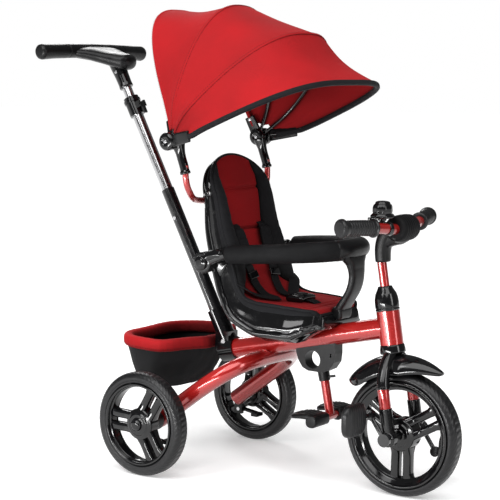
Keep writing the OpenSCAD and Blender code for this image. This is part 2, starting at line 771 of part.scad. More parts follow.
// Clamp that carries the handlebar ahead of the stem
module stem_clamp() part(black) difference() {
    union() {
        on_steering_axis() translate([0, 0, 344]) cylinder(r1 = 13.5, r2 = 15.5, h = 40);
        hull() {
            on_steering_axis() translate([0, 0, 358]) cylinder(r = 13.8, h = 38, $fn = 32);
            cross_rod(bar_centre.x - 4, bar_centre.z - 8, -14, 14, 13, $fn = 32);
        }
        cross_rod(bar_centre.x, bar_centre.z, -17, 17, 16);
    }
    on_steering_axis() translate([0, 0, 340]) cylinder(r = stem_r, h = 28);
    cross_rod(bar_centre.x, bar_centre.z, -30, 30, bar_r);
}

// Handlebar centre line, swept back and slightly up toward the grips
function bar_point(y) = let(a = max(0, abs(y) - 34) / 131)
    [bar_centre.x - 36 * pow(a, 1.2), y, bar_centre.z + 9 * sin(90 * min(a, 1))];

function bar_path(from, to, n) = [for (i = [0:n]) bar_point(from + (to - from) * i / n)];

module handlebar() part(paint_red) sweep(bar_path(-164, 164, 28), bar_r, [0, 0, 1], 14);

module handlebar_grips() part(rubber) both_sides() {
    sweep(bar_path(88, 165, 7), 13.5, [0, 0, 1], 14, bar_r + 0.1);
    sweep(bar_path(86, 91, 1), 17, [0, 0, 1], 14, bar_r + 0.1);
    sweep(bar_path(165.2, 170, 1), 15, [0, 0, 1], 14);
}

// Foam pad round the clamp in the middle of the handlebar
module handlebar_pad() part("black") difference() {
    cross_rod(bar_centre.x, bar_centre.z, -19, 19, 26);
    cross_rod(bar_centre.x, bar_centre.z, -17.4, 17.4, 16.3);
    cross_rod(bar_centre.x, bar_centre.z, -30, 30, bar_r + 0.3);
    hull() {
        on_steering_axis() translate([0, 0, 354]) cylinder(r = 14.2, h = 44, $fn = 32);
        cross_rod(bar_centre.x - 4, bar_centre.z - 8, -14.4, 14.4, 13.4, $fn = 32);
    }
}

// Bell on its band, to the right of the pad; the dome sits a little behind the bar
bell_at = bar_point(-51) + [-13, 0, 0];

module bell() part(black) {
    band = bar_point(-51);
    difference() {
        union() {
            translate(band) rotate([-90, 0, 0]) translate([0, 0, -4]) cylinder(r = 13.6, h = 8);
            translate(bell_at + [0, 0, 8]) cylinder(r = 7, h = 6);
            translate(bell_at + [0, 0, 12]) cylinder(r = 5, h = 10);
        }
        translate(band) rotate([-90, 0, 0]) translate([0, 0, -30]) cylinder(r = bar_r + 0.5, h = 60);
    }
    translate(bell_at + [0, 0, 21]) cylinder(r1 = 23, r2 = 21, h = 6);
    translate(bell_at + [0, 0, 27]) cylinder(r1 = 20, r2 = 19, h = 17);
    translate(bell_at + [0, 0, 44]) cylinder(r1 = 19, r2 = 13, h = 8);
}

// Thumb lever under the bell dome
module bell_lever() part(black) translate(bell_at + [0, 0, 15.4]) {
    difference() {
        union() {
            cylinder(r = 8, h = 4);
            translate([-24, -4, 0]) cube([20, 8, 4]);
        }
        translate([0, 0, -1]) cylinder(r = 5 + running, h = 6);
    }
    translate([-26, 0, 0]) cylinder(r = 6, h = 4);
}

// ---- Crank and pedals ----

function crank_end(side) = [wheelbase + side * crank_r * cos(crank_angle), 0, front_r + side * crank_r * sin(crank_angle)];

// Spindle through the hub with an arm and a pedal pin at each end
module crank() part(steel) {
    cross_rod(wheelbase, front_r, -crank_out, crank_out, axle_r);
    for (side = [-1, 1]) {
        e = crank_end(-side);
        lo = side < 0 ? -crank_out : crank_in;
        cross_rod(wheelbase, front_r, lo, lo + 9, 13);
        cross_rod(e.x, e.z, lo, lo + 9, 10);
        rod([wheelbase, lo + 4.5, front_r], [e.x, lo + 4.5, e.z], 4.5);
        pin = side < 0 ? -pedal_out + 2 : crank_in;
        cross_rod(e.x, e.z, pin, pin + pedal_out - 2 - crank_in, 5);
    }
}

// Rounded block pedal standing on edge, with ribs on both faces
module pedal(side) {
    e = crank_end(-side);
    mid = side * (pedal_in + pedal_out) / 2;
    half = (pedal_out - pedal_in) / 2;
    difference() {
        union() {
            translate([e.x, mid, e.z]) rotate([0, 90, 0]) linear_extrude(18, center = true) rounded(31, half, 15);
            for (z = [-18:9:18]) translate([e.x, mid, e.z + z]) cube([21, 2 * half - 16, 3.6], center = true);
        }
        cross_rod(e.x, e.z, -200, 200, 5 + running);
    }
}

module pedal_left() part(rubber) pedal(1);

module pedal_right() part(rubber) pedal(-1);

// Screws and bolts that show on the frame
module frame_fasteners() part(steel) {
    both_sides() {
        cross_rod(70, 262, 17.02, 20, 5);
        cross_rod(hub.x, hub.z, 174.02, 176, 5);
        cross_rod(bar_pivot.x, bar_pivot.z, seat_half + 38.02, seat_half + 40, 6);
    }
}

main_tube();
head_tube();
head_bearings();
rear_axle_tube();
axle_blocks();
rear_axle_pins();
push_bar_socket();
push_bar_lower_tube();
push_bar_middle_tube();
locking_collar();
basket_hoop();
basket_bag();
basket_rim();
seat_shell();
seat_cushion();
seat_back_pad();
harness();
safety_bar_knuckles();
canopy_post();
canopy_arms();
footrest_bracket();
frame_fasteners();
fork_tubes();
fork_crown();
fork_leg_covers();
fender();
head_cap();
stem_clamp();
handlebar();
handlebar_grips();
handlebar_pad();
bell();
bell_lever();
front_tyre();
front_rim();
crank();
pedal_left();
pedal_right();
rear_tyre_left();
rear_rim_left();
rear_tyre_right();
rear_rim_right();
push_bar_upper_tube();
handle_body();
handle_grip();
collar_lever();
release_button();
safety_bar_tube();
safety_bar_sleeves();
crotch_post();
footrest_post();
footrest_plates();
brake_lever_left();
brake_lever_right();
canopy_middle_hoop();
canopy_front_rib();
canopy_front_hoop();
canopy_rear_panel();
canopy_top_panel();
canopy_front_panel();
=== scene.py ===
"""Looks of the push tricycle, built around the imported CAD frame. Metres, +X forward, +Y left, +Z up."""

import json
import math

import bmesh
import bpy
import numpy as np
from mathutils import Matrix, Vector


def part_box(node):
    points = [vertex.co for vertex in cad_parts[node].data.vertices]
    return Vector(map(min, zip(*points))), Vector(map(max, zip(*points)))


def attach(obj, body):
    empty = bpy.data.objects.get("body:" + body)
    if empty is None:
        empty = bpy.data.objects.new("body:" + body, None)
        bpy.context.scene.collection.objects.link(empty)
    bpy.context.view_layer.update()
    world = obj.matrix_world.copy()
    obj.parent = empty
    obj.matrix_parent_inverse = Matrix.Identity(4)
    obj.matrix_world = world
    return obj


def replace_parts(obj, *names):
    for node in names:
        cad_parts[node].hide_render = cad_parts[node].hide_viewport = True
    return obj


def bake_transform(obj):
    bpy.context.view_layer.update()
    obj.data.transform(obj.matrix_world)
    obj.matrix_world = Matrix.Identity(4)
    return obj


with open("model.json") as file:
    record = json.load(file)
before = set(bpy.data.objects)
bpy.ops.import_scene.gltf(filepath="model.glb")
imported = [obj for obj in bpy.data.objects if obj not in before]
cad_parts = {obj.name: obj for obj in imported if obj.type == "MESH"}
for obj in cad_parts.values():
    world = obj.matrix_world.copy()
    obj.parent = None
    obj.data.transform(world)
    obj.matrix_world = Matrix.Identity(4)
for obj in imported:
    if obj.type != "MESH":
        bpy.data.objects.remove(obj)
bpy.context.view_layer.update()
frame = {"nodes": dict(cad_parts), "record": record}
NODES = frame["nodes"]

# ---------------------------------------------------------------- camera, floor and light

WORLD = 0.15
SUN = 2.5
# each area light: name, place, target, size and power
LAMPS = [
    ("key", (-0.6, -3.0, 2.6), (0, 0, 0.4), (1.2, 1.8), 42),
    ("side", (3.2, -0.4, 1.5), (0.1, 0, 0.4), (0.7, 2.2), 26),
    ("rim", (-2.2, 1.8, 2.2), (0, 0, 0.5), (1.0, 1.8), 30),
    ("low", (-0.3, -2.6, 0.14), (0, 0, 0.36), (2.2, 0.16), 45),
]
# the camera solved from the picture
AZIMUTH, ELEVATION, ROLL = (math.radians(v) for v in (35.23, 7.99, 0.88))
CAMERA_PLACE = (1.8377, -2.6428, 0.8522)
LENS = 112.3
SHIFT = (0.0008, 0.0586)


def set_camera():
    back = Vector((math.sin(AZIMUTH) * math.cos(ELEVATION), -math.cos(AZIMUTH) * math.cos(ELEVATION),
                   math.sin(ELEVATION)))
    right = Vector((math.cos(AZIMUTH), math.sin(AZIMUTH), 0))
    up = back.cross(right)
    right, up = (
        math.cos(ROLL) * right + math.sin(ROLL) * up,
        math.cos(ROLL) * up - math.sin(ROLL) * right,
    )
    data = bpy.data.cameras.new("camera")
    data.sensor_width = 36
    data.lens = LENS
    data.shift_x, data.shift_y = SHIFT
    data.clip_end = 50
    cam = bpy.data.objects.new("camera", data)
    cam.matrix_world = Matrix(
        (
            (right.x, up.x, back.x, CAMERA_PLACE[0]),
            (right.y, up.y, back.y, CAMERA_PLACE[1]),
            (right.z, up.z, back.z, CAMERA_PLACE[2]),
            (0, 0, 0, 1),
        )
    )
    bpy.context.collection.objects.link(cam)
    bpy.context.scene.camera = cam


def area_light(name, place, target, size, power, color=(1, 1, 1)):
    data = bpy.data.lights.new(name, "AREA")
    data.shape = "RECTANGLE"
    data.size, data.size_y = size
    data.energy = power
    data.color = color
    light = bpy.data.objects.new(name, data)
    light.location = place
    light.rotation_euler = (Vector(target) - Vector(place)).to_track_quat("-Z", "Y").to_euler()
    bpy.context.collection.objects.link(light)


def plane(name, size, z, mat):
    mesh = bpy.data.meshes.new(name)
    corners = [(-size, -size, z), (size, -size, z), (size, size, z), (-size, size, z)]
    mesh.from_pydata(corners, [], [(0, 1, 2, 3)])
    obj = bpy.data.objects.new(name, mesh)
    bpy.context.collection.objects.link(obj)
    obj.data.materials.append(mat)
    return obj


def set_studio():
    bpy.context.scene.view_settings.view_transform = "Standard"
    world = bpy.data.worlds.new("studio")
    world.use_nodes = True
    world.node_tree.nodes["Background"].inputs["Color"].default_value = (1, 1, 1, 1)
    world.node_tree.nodes["Background"].inputs["Strength"].default_value = WORLD
    bpy.context.scene.world = world
    for row in LAMPS:
        area_light(*row)
    sun = bpy.data.lights.new("sun", "SUN")
    sun.energy = SUN
    sun.angle = math.radians(60)
    lamp = bpy.data.objects.new("sun", sun)
    lamp.rotation_euler = (Vector((0, 0, 0)) - Vector((0.5, -1.0, 1.9))).to_track_quat("-Z", "Y").to_euler()
    bpy.context.collection.objects.link(lamp)
    floor = plane("floor", 30, 0, floor_material())
    floor.visible_diffuse = False
    # a white backdrop round the scene that only the camera sees
    bm = bmesh.new()
    bmesh.ops.create_uvsphere(bm, u_segments=48, v_segments=24, radius=24)
    mesh = bpy.data.meshes.new("backdrop")
    bm.to_mesh(mesh)
    bm.free()
    dome = bpy.data.objects.new("backdrop", mesh)
    bpy.context.collection.objects.link(dome)
    mat = Maker("backdrop")
    mat.set(Base_Color=(0, 0, 0), Emission_Color=(1, 1, 1), Emission_Strength=1.0, Specular_IOR_Level=0.0)
    dome.data.materials.append(mat.mat)
    for ray in ("diffuse", "glossy", "transmission", "volume_scatter", "shadow"):
        setattr(dome, "visible_" + ray, False)


# ---------------------------------------------------------------- materials


class Maker:
    """Small helper that builds a node material."""

    def __init__(self, name):
        self.mat = bpy.data.materials.new(name)
        self.mat.use_nodes = True
        self.tree = self.mat.node_tree
        self.shader = self.tree.nodes["Principled BSDF"]
        self.place = None

    def node(self, kind, **values):
        n = self.tree.nodes.new(kind)
        for key, value in values.items():
            if hasattr(n, key):
                setattr(n, key, value)
            else:
                n.inputs[key.replace("_", " ")].default_value = value
        return n

    def link(self, a, b):
        self.tree.links.new(a, b)

    def coords(self):
        if self.place is None:
            self.place = self.node("ShaderNodeTexCoord").outputs["Object"]
        return self.place

    def noise(self, scale, detail=3.0, rough=0.5, distort=0.0, vector=None):
        n = self.node("ShaderNodeTexNoise")
        n.inputs["Scale"].default_value = scale
        n.inputs["Detail"].default_value = detail
        n.inputs["Roughness"].default_value = rough
        n.inputs["Distortion"].default_value = distort
        self.link(vector or self.coords(), n.inputs["Vector"])
        return n.outputs["Fac"]

    def math(self, op, a, b=None, clamp=False):
        n = self.node("ShaderNodeMath")
        n.operation = op
        n.use_clamp = clamp
        for k, v in enumerate((a, b)):
            if v is None:
                continue
            if isinstance(v, (int, float)):
                n.inputs[k].default_value = v
            else:
                self.link(v, n.inputs[k])
        return n.outputs[0]

    def spread(self, value, low, high, to_low, to_high):
        n = self.node("ShaderNodeMapRange")
        for key, v in zip(("From Min", "From Max", "To Min", "To Max"), (low, high, to_low, to_high)):
            n.inputs[key].default_value = v
        self.link(value, n.inputs["Value"])
        return n.outputs["Result"]

    def mix(self, fac, a, b):
        n = self.node("ShaderNodeMix")
        n.data_type = "RGBA"
        for key, v in (("Factor", fac), ("A", a), ("B", b)):
            wanted = (s for s in n.inputs if s.enabled and s.name == key)
            socket = next(s for s in wanted if key == "Factor" or s.type == "RGBA")
            if isinstance(v, (int, float)):
                socket.default_value = v
            elif isinstance(v, tuple):
                socket.default_value = (*v, 1)
            else:
                self.link(v, socket)
        return next(s for s in n.outputs if s.type == "RGBA" and s.enabled)

    def bump(self, height, strength, distance, under=None):
        n = self.node("ShaderNodeBump")
        n.inputs["Strength"].default_value = strength
        n.inputs["Distance"].default_value = distance
        self.link(height, n.inputs["Height"])
        if under is not None:
            self.link(under, n.inputs["Normal"])
        return n.outputs["Normal"]

    def set(self, **values):
        for key, v in values.items():
            socket = self.shader.inputs[key.replace("_", " ")]
            if isinstance(v, (int, float)):
                socket.default_value = v
            elif isinstance(v, tuple):
                socket.default_value = (*v, 1) if len(v) == 3 and socket.type == "RGBA" else v
            else:
                self.link(v, socket)
        return self


def floor_material():
    m = Maker("studio_floor")
    tone = m.mix(m.spread(m.noise(1.2, 2), 0.3, 0.7, 0, 1), (0.93, 0.93, 0.93), (0.95, 0.95, 0.95))
    m.set(Base_Color=tone, Roughness=0.7, Specular_IOR_Level=0.15, Emission_Color=(1, 1, 1),
          Emission_Strength=0.3)
    return m.mat


def enamel(name, base, metal, rough, coat=1.0):
    """Sprayed enamel over steel: fine flake, a little orange peel, dusty and rubbed patches."""
    m = Maker(name)
    dark = tuple(c * 0.72 for c in base)
    tone = m.mix(m.spread(m.noise(9, 4), 0.3, 0.7, 0, 1), dark, base)
    fleck = m.noise(5200, 1)
    tone = m.mix(m.spread(fleck, 0.62, 0.8, 0, 0.35), tone, tuple(min(1, c * 2.2 + 0.02) for c in base))
    wear = m.spread(m.noise(34, 6, 0.7), 0.45, 0.8, 0, 0.16)
    m.set(
        Base_Color=tone,
        Metallic=metal,
        Roughness=m.math("ADD", wear, rough),
        Coat_Weight=coat,
        Coat_Roughness=0.06,
        Normal=m.bump(m.noise(420, 2), 0.05, 0.0004),
    )
    return m.mat


def moulded(name, base, rough, grain, grain_scale=900.0, coat=0.0, spec=0.45):
    """Injection-moulded plastic with a fine mould grain and handling marks."""
    m = Maker(name)
    tone = m.mix(m.spread(m.noise(14, 4), 0.35, 0.7, 0, 1), tuple(c * 0.75 for c in base),
                 tuple(c * 1.35 for c in base))
    marks = m.spread(m.noise(60, 8, 0.75, 0.6), 0.5, 0.8, 0, 0.2)
    m.set(
        Base_Color=tone,
        Roughness=m.math("ADD", marks, rough),
        Specular_IOR_Level=spec,
        Coat_Weight=coat,
        Coat_Roughness=0.08,
        Normal=m.bump(m.noise(grain_scale, 2, 0.6), grain, 0.0004),
    )
    return m.mat


def plated(name, base, rough):
    """Plated steel with a fine grain and faint cloudy marks."""
    m = Maker(name)
    tone = m.mix(m.spread(m.noise(24, 5), 0.3, 0.75, 0, 1), tuple(c * 0.82 for c in base), base)
    haze = m.spread(m.noise(70, 6, 0.7), 0.4, 0.8, 0, 0.12)
    m.set(
        Base_Color=tone,
        Metallic=1.0,
        Roughness=m.math("ADD", haze, rough),
        Normal=m.bump(m.noise(1500, 3), 0.03, 0.0002),
    )
    return m.mat


def foam(name, base):
    """Closed-cell foam: matt, pitted with fine cells, scuffed in patches."""
    m = Maker(name)
    tone = m.mix(m.spread(m.noise(30, 5), 0.3, 0.75, 0, 1), tuple(c * 0.7 for c in base),
                 tuple(c * 1.5 for c in base))
    cells = m.node("ShaderNodeTexVoronoi")
    cells.inputs["Scale"].default_value = 900
    m.link(m.coords(), cells.inputs["Vector"])
    m.set(
        Base_Color=tone,
        Roughness=m.math("ADD", m.spread(m.noise(50, 4), 0.3, 0.8, 0, 0.12), 0.62),
        Specular_IOR_Level=0.15,
        Normal=m.bump(cells.outputs["Distance"], 0.25, 0.0005, m.bump(m.noise(260, 4), 0.12, 0.001)),
    )
    return m.mat


def rubber(name, base, coat=0.0):
    m = Maker(name)
    tone = m.mix(m.spread(m.noise(26, 5), 0.35, 0.75, 0, 1), base, tuple(c * 2.0 + 0.001 for c in base))
    m.set(
        Base_Color=tone,
        Roughness=m.math("ADD", m.spread(m.noise(80, 5), 0.3, 0.8, 0, 0.2), 0.42),
        Specular_IOR_Level=0.25,
        Coat_Weight=coat,
        Coat_Roughness=0.22,
        Normal=m.bump(m.noise(700, 3), 0.18, 0.0006),
    )
    return m.mat


def woven(name, base, pitch=0.0011, depth=0.35, sheen=0.5, shade=0.6):
    """Woven cloth: crossed threads, slubs, a soft cloudy tone, and painted shade from ambient occlusion
    that darkens hollows.
    """
    m = Maker(name)
    rot = m.node("ShaderNodeMapping")
    rot.inputs["Rotation"].default_value = (0.62, 0.35, 0.5)
    m.link(m.coords(), rot.inputs["Vector"])
    threads = []
    for direction in ("X", "Y", "Z"):
        w = m.node("ShaderNodeTexWave")
        w.bands_direction = direction
        w.inputs["Scale"].default_value = 0.314 / pitch
        w.inputs["Distortion"].default_value = 0.6
        w.inputs["Detail"].default_value = 1.0
        w.inputs["Detail Scale"].default_value = 2.0
        m.link(rot.outputs["Vector"], w.inputs["Vector"])
        threads.append(w.outputs["Fac"])
    cloth = m.math("MULTIPLY", m.math("MAXIMUM", threads[0], threads[1]),
                   m.math("ADD", m.math("MULTIPLY", threads[2], 0.4), 0.6))
    slub = m.noise(420, 3, 0.6)
    cloud = m.noise(7, 4, 0.55)
    dark = tuple(c * shade for c in base)
    light = tuple(min(1.0, c * 1.25 + 0.004) for c in base)
    tone = m.mix(m.spread(cloud, 0.3, 0.7, 0, 1), dark, base)
    tone = m.mix(m.math("MULTIPLY", cloth, 0.5), tone, light)
    tone = m.mix(m.spread(slub, 0.55, 0.8, 0, 0.4), tone, dark)
    # painted shade: ambient occlusion darkens the cloth's colour in hollows such as the inside of the
    # canopy
    painted_hollow_shade = m.node("ShaderNodeAmbientOcclusion")
    painted_hollow_shade.inputs["Distance"].default_value = 0.28
    tone = m.mix(m.spread(painted_hollow_shade.outputs["AO"], 0.35, 0.9, 0, 1), tuple(c * 0.3 for c in base), tone)
    height = m.math("ADD", cloth, m.math("MULTIPLY", slub, 0.5))
    m.set(
        Base_Color=tone,
        Roughness=m.math("ADD", m.spread(cloud, 0.3, 0.7, 0, 0.08), 0.78),
        Specular_IOR_Level=0.25,
        Sheen_Weight=sheen,
        Sheen_Roughness=0.45,
        Sheen_Tint=tuple(min(1.0, c * 1.5 + 0.05) for c in base),
        Normal=m.bump(height, depth, 0.0005, m.bump(m.noise(38, 3), 0.12, 0.004)),
    )
    return m.mat


RED = (0.41, 0.006, 0.009)
MATS = {
    "red_paint": enamel("red_paint", (0.50, 0.016, 0.014), 0.3, 0.2),
    "gloss_black": moulded("gloss_black", (0.0035, 0.0035, 0.004), 0.1, 0.02, 300, coat=0.2, spec=0.4),
    "matt_black": moulded("matt_black", (0.004, 0.004, 0.0045), 0.34, 0.14, spec=0.24),
    "black_paint": enamel("black_paint", (0.005, 0.005, 0.006), 0.0, 0.2, 0.5),
    "bright_steel": plated("bright_steel", (0.56, 0.56, 0.57), 0.15),
    "plain_steel": plated("plain_steel", (0.5, 0.5, 0.51), 0.24),
    "black_foam": foam("black_foam", (0.004, 0.004, 0.0045)),
    "tyre_black": rubber("tyre_black", (0.0025, 0.0025, 0.003), 0.3),
    "red_cloth": woven("red_cloth", RED, sheen=0.25),
    "black_cloth": woven("black_cloth", (0.006, 0.006, 0.0075), depth=0.4, sheen=0.12),
}


def paint(obj, slot):
    obj.data.materials.clear()
    obj.data.materials.append(MATS[slot])
    return obj


def paint_cad():
    for row in frame["record"]["subparts"]:
        obj = NODES[row["node"]]
        for s in obj.material_slots:
            s.material = MATS[row["material_slot"]]
        if not obj.material_slots:
            obj.data.materials.append(MATS[row["material_slot"]])


# ---------------------------------------------------------------- measures from the CAD, in millimetres


def tyre_size(node):
    """Centre x and y, radius and width of a CAD tyre."""
    low, high = (np.round(np.array(corner) * 1000, 1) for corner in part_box(node))
    middle, span = (low + high) / 2, high - low
    return middle[0], middle[1], span[2] / 2, span[1]


REAR_X, REAR_Y, REAR_R, REAR_W = tyre_size("rear_tyre_left")
FRONT_X, FRONT_Y, FRONT_R, FRONT_W = tyre_size("front_tyre")
ORIGIN_X = -REAR_X  # working lengths start at the rear axle, this far behind the row's origin
FRONT_X += ORIGIN_X
FRONT_AXLE = np.array([FRONT_X, FRONT_Y, FRONT_R])


def leaning(degrees):
    """Axis that leans back from upright."""
    a = math.radians(degrees)
    return (-math.sin(a), 0, math.cos(a))


HEAD_AXIS = leaning(10)
PUSH_BAR_AXIS = leaning(28.3)
PUSH_BAR_FOOT = (46, 0, 307.7)  # a point on the push bar's axis
KNUCKLE_X, KNUCKLE_Z = 94, 443  # pivot of the safety bar
FORK_Y = 55.5  # centre of a fork leg

# ---------------------------------------------------------------- shape helpers, in working millimetres


def row(p):
    """Working millimetres, with x from the rear axle, to metres in the row's frame."""
    p = np.array(p, float)
    p[..., 0] -= ORIGIN_X
    return p / 1000


def unit(v):
    return v / np.maximum(np.linalg.norm(v, axis=-1, keepdims=True), 1e-9)


def smooth(points, count, closed=False):
    """Evenly spaced points on a smooth curve through the given ones."""
    p = np.asarray(points, float)
    if closed:
        p = np.vstack([p[-2:], p, p[:3]])
    d = np.concatenate([[0], np.cumsum(np.linalg.norm(np.diff(p, axis=0), axis=1))])
    m = np.gradient(p, d, axis=0)
    lo, hi = (d[2], d[-3]) if closed else (0, d[-1])
    s = np.linspace(lo, hi, count, endpoint=not closed)
    k = np.clip(np.searchsorted(d, s, side="right") - 1, 0, len(d) - 2)
    h = (d[k + 1] - d[k])[:, None]
    t = ((s - d[k]) / (d[k + 1] - d[k]))[:, None]
    return (
        (2 * t**3 - 3 * t**2 + 1) * p[k]
        + (t**3 - 2 * t**2 + t) * h * m[k]
        + (3 * t**2 - 2 * t**3) * p[k + 1]
        + (t**3 - t**2) * h * m[k + 1]
    )


def make(name, verts, faces, slot, body, angle=45, recalc=True):
    """Mesh piece from working millimetres, painted and set on its body."""
    mesh = bpy.data.meshes.new(name)
    mesh.from_pydata([tuple(v) for v in row(verts)], [], [tuple(int(i) for i in f) for f in faces])
    if recalc:
        bm = bmesh.new()
        bm.from_mesh(mesh)
        bmesh.ops.remove_doubles(bm, verts=bm.verts, dist=1e-6)
        bmesh.ops.dissolve_degenerate(bm, dist=1e-7, edges=bm.edges)
        bmesh.ops.recalc_face_normals(bm, faces=bm.faces)
        bm.to_mesh(mesh)
        bm.free()
    mesh.polygons.foreach_set("use_smooth", [True] * len(mesh.polygons))
    mesh.set_sharp_from_angle(angle=math.radians(angle))
    obj = bpy.data.objects.new(name, mesh)
    bpy.context.collection.objects.link(obj)
    paint(obj, slot)
    if body:
        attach(obj, body)
    return obj


def grid_faces(m, n, wrap_m=False, wrap_n=False, start=0, flip=False):
    i, j = np.meshgrid(np.arange(m if wrap_m else m - 1), np.arange(n if wrap_n else n - 1), indexing="ij")
    a, b = i % m * n, (i + 1) % m * n
    c, d = j % n, (j + 1) % n
    quads = np.stack([a + c, a + d, b + d, b + c], -1).reshape(-1, 4) + start
    return (quads[:, ::-1] if flip else quads).tolist()


def surface_normals(g):
    return unit(np.cross(np.gradient(g, axis=0), np.gradient(g, axis=1)))


def slab(name, front, back, slot, body, **kw):
    """Closed solid between two grids of the same shape."""
    m, n = front.shape[:2]
    total = m * n
    verts = np.vstack([front.reshape(-1, 3), back.reshape(-1, 3)])
    faces = grid_faces(m, n) + grid_faces(m, n, start=total, flip=True)
    border = (
        [i * n for i in range(m)]
        + [(m - 1) * n + j for j in range(1, n)]
        + [i * n + n - 1 for i in range(m - 2, -1, -1)]
        + list(range(n - 2, 0, -1))
    )
    for a, b in zip(border, border[1:] + border[:1]):
        faces.append((a, b, b + total, a + total))
    return make(name, verts, faces, slot, body, **kw)


def frames(path, ref, closed=False):
    """Direction, side and up along a path."""
    p = np.asarray(path, float)
    if closed:
        t = unit(np.roll(p, -1, 0) - np.roll(p, 1, 0))
    else:
        t = unit(np.gradient(p, axis=0))
    ref = np.broadcast_to(np.asarray(ref, float), p.shape)
    s = unit(np.cross(t, ref))
    return t, s, np.cross(s, t)


def sweep(name, path, profile, slot, body, ref=(0, 0, 1), closed=False, **kw):
    """Skin of one profile, or one for each station, carried along a path.

    A profile point is (across, along ref).
    """
    p = np.asarray(path, float)
    prof = np.asarray(profile, float)
    if prof.ndim == 2:
        prof = np.broadcast_to(prof, (len(p),) + prof.shape)
    _, s, u = frames(p, ref, closed)
    rings = p[:, None] + prof[..., :1] * s[:, None] + prof[..., 1:2] * u[:, None]
    return skin(name, rings, slot, body, closed=closed, **kw)


def skin(name, rings, slot, body, closed=False, **kw):
    m, n = rings.shape[:2]
    faces = grid_faces(m, n, wrap_m=closed, wrap_n=True)
    if not closed:
        faces += [list(range(n))[::-1], [(m - 1) * n + k for k in range(n)]]
    return make(name, rings.reshape(-1, 3), faces, slot, body, **kw)


def circle(n, a=1.0, b=None, power=2.0):
    """Points round a (super)ellipse with half sizes a and b."""
    t = np.arange(n) * 2 * math.pi / n
    c, s = np.cos(t), np.sin(t)
    b = a if b is None else b
    return np.stack([a * np.sign(c) * abs(c) ** (2 / power), b * np.sign(s) * abs(s) ** (2 / power)], -1)


def stations(path, fillet, count):
    """Re-space a path with close stations at both ends, and give how far each lies inside a rounded end."""
    p = np.asarray(path, float)
    d = np.concatenate([[0], np.cumsum(np.linalg.norm(np.diff(p, axis=0), axis=1))])
    f = min(fillet, d[-1] / 2.01)
    end = f * (1 - np.cos(np.linspace(0, math.pi / 2, 7)))
    at = np.concatenate([end, np.linspace(f, d[-1] - f, count)[1:-1], d[-1] - end[::-1]])
    out = np.stack([np.interp(at, d, p[:, k]) for k in range(3)], -1)
    near = np.minimum(at, d[-1] - at)
    cut = np.where(near < f, f - np.sqrt(np.maximum(f * f - (f - near) ** 2, 0)), 0)
    return out, cut, at / d[-1]


def tube(name, path, radius, slot, body, ref=(0, 0, 1), sides=24, fillet=1.5, count=60, flat=1.0, power=2.0,
         curve=True, **kw):
    """Round or flattened bar with rounded ends along a path.

    The radius is a number, or a function of the share of the length.
    """
    p = smooth(path, max(160, count * 2)) if curve else np.asarray(path, float)
    ref = np.asarray(ref, float)
    old = np.linalg.norm(np.diff(p, axis=0), axis=1).cumsum()
    old = np.concatenate([[0], old / old[-1]])
    p, cut, share = stations(p, fillet, count)
    if ref.ndim == 2:
        ref = np.stack([np.interp(share, old, ref[:, k]) for k in range(3)], -1)
    r = np.array([radius(x) if callable(radius) else radius for x in share])
    base = circle(sides, 1, 1, power)
    half = np.stack([np.maximum(r - cut, 0.02), np.maximum(r * flat - cut, 0.02)], -1)
    return sweep(name, p, base[None] * half[:, None], slot, body, ref, **kw)


def turned(name, profile, place, axis, slot, body, sides=64, lobes=None, **kw):
    """Lathe of (radius, height) points about an axis through a place."""
    z = Vector(axis).normalized()
    x = z.orthogonal().normalized()
    y = z.cross(x)
    prof = np.asarray(profile, float)
    t = np.arange(sides) * 2 * math.pi / sides
    swell = 1.0 if lobes is None else 1 + lobes[1] * np.cos(lobes[0] * t)
    ring = (np.cos(t) * swell)[:, None] * np.array(x) + (np.sin(t) * swell)[:, None] * np.array(y)
    rings = np.asarray(place, float) + prof[:, :1, None] * ring[None] + prof[:, 1:2, None] * np.array(z)
    return skin(name, rings, slot, body, **kw)


def rounded_profile(points, r=1.2, steps=3):
    """Rounds the corners of an open (radius, height) profile."""
    p = [np.array(q, float) for q in points]
    out = [p[0]]
    for a, b, c in zip(p, p[1:], p[2:]):
        k = min(r, np.linalg.norm(a - b) / 2.2, np.linalg.norm(c - b) / 2.2)
        u, v = b + unit(a - b) * k, b + unit(c - b) * k
        out += [(1 - s) ** 2 * u + 2 * s * (1 - s) * b + s * s * v for s in np.linspace(0, 1, steps + 1)]
    return np.array(out + [p[-1]])


def stitches(name, rows, slot, body, pitch=4.2, length=2.7, r=0.42):
    """Raised thread along paths; each row is (path, outward direction)."""
    verts, faces = [], []
    for path, out in rows:
        p = np.asarray(path, float)
        d = np.concatenate([[0], np.cumsum(np.linalg.norm(np.diff(p, axis=0), axis=1))])
        out = np.broadcast_to(np.asarray(out, float), p.shape)
        for s in np.arange(pitch / 2, d[-1], pitch):
            c, o = (np.array([np.interp(s, d, q[:, k]) for k in range(3)]) for q in (p, out))
            t = unit(np.array([np.interp(min(s + 1, d[-1]), d, p[:, k]) for k in range(3)]) - c)
            side = unit(np.cross(t, o))
            up = np.cross(side, t)
            n = len(verts)
            end = t * length / 2
            verts += [c - end, c + side * r, c + up * r, c - side * r, c - up * r, c + end]
            for k in range(4):
                faces += [(n, n + 1 + k, n + 1 + (k + 1) % 4), (n + 5, n + 1 + (k + 1) % 4, n + 1 + k)]
    return make(name, np.array(verts), faces, slot, body, recalc=False)


def merge(name, objs):
    """Joins meshes that ride together into one piece."""
    first = objs[0]
    bm = bmesh.new()
    for o in objs:
        bm.from_mesh(o.data)
    bm.to_mesh(first.data)
    bm.free()
    for o in objs[1:]:
        bpy.data.objects.remove(o)
    first.name = name
    return first


def both(build):
    """Builds a thing for the left (1) and the right (-1)."""
    return [build(name, side) for name, side in (("left", 1), ("right", -1))]


def mirrored(points, side):
    """A path of the left side, for the side asked for."""
    return [(x, side * y, z) for x, y, z in points]


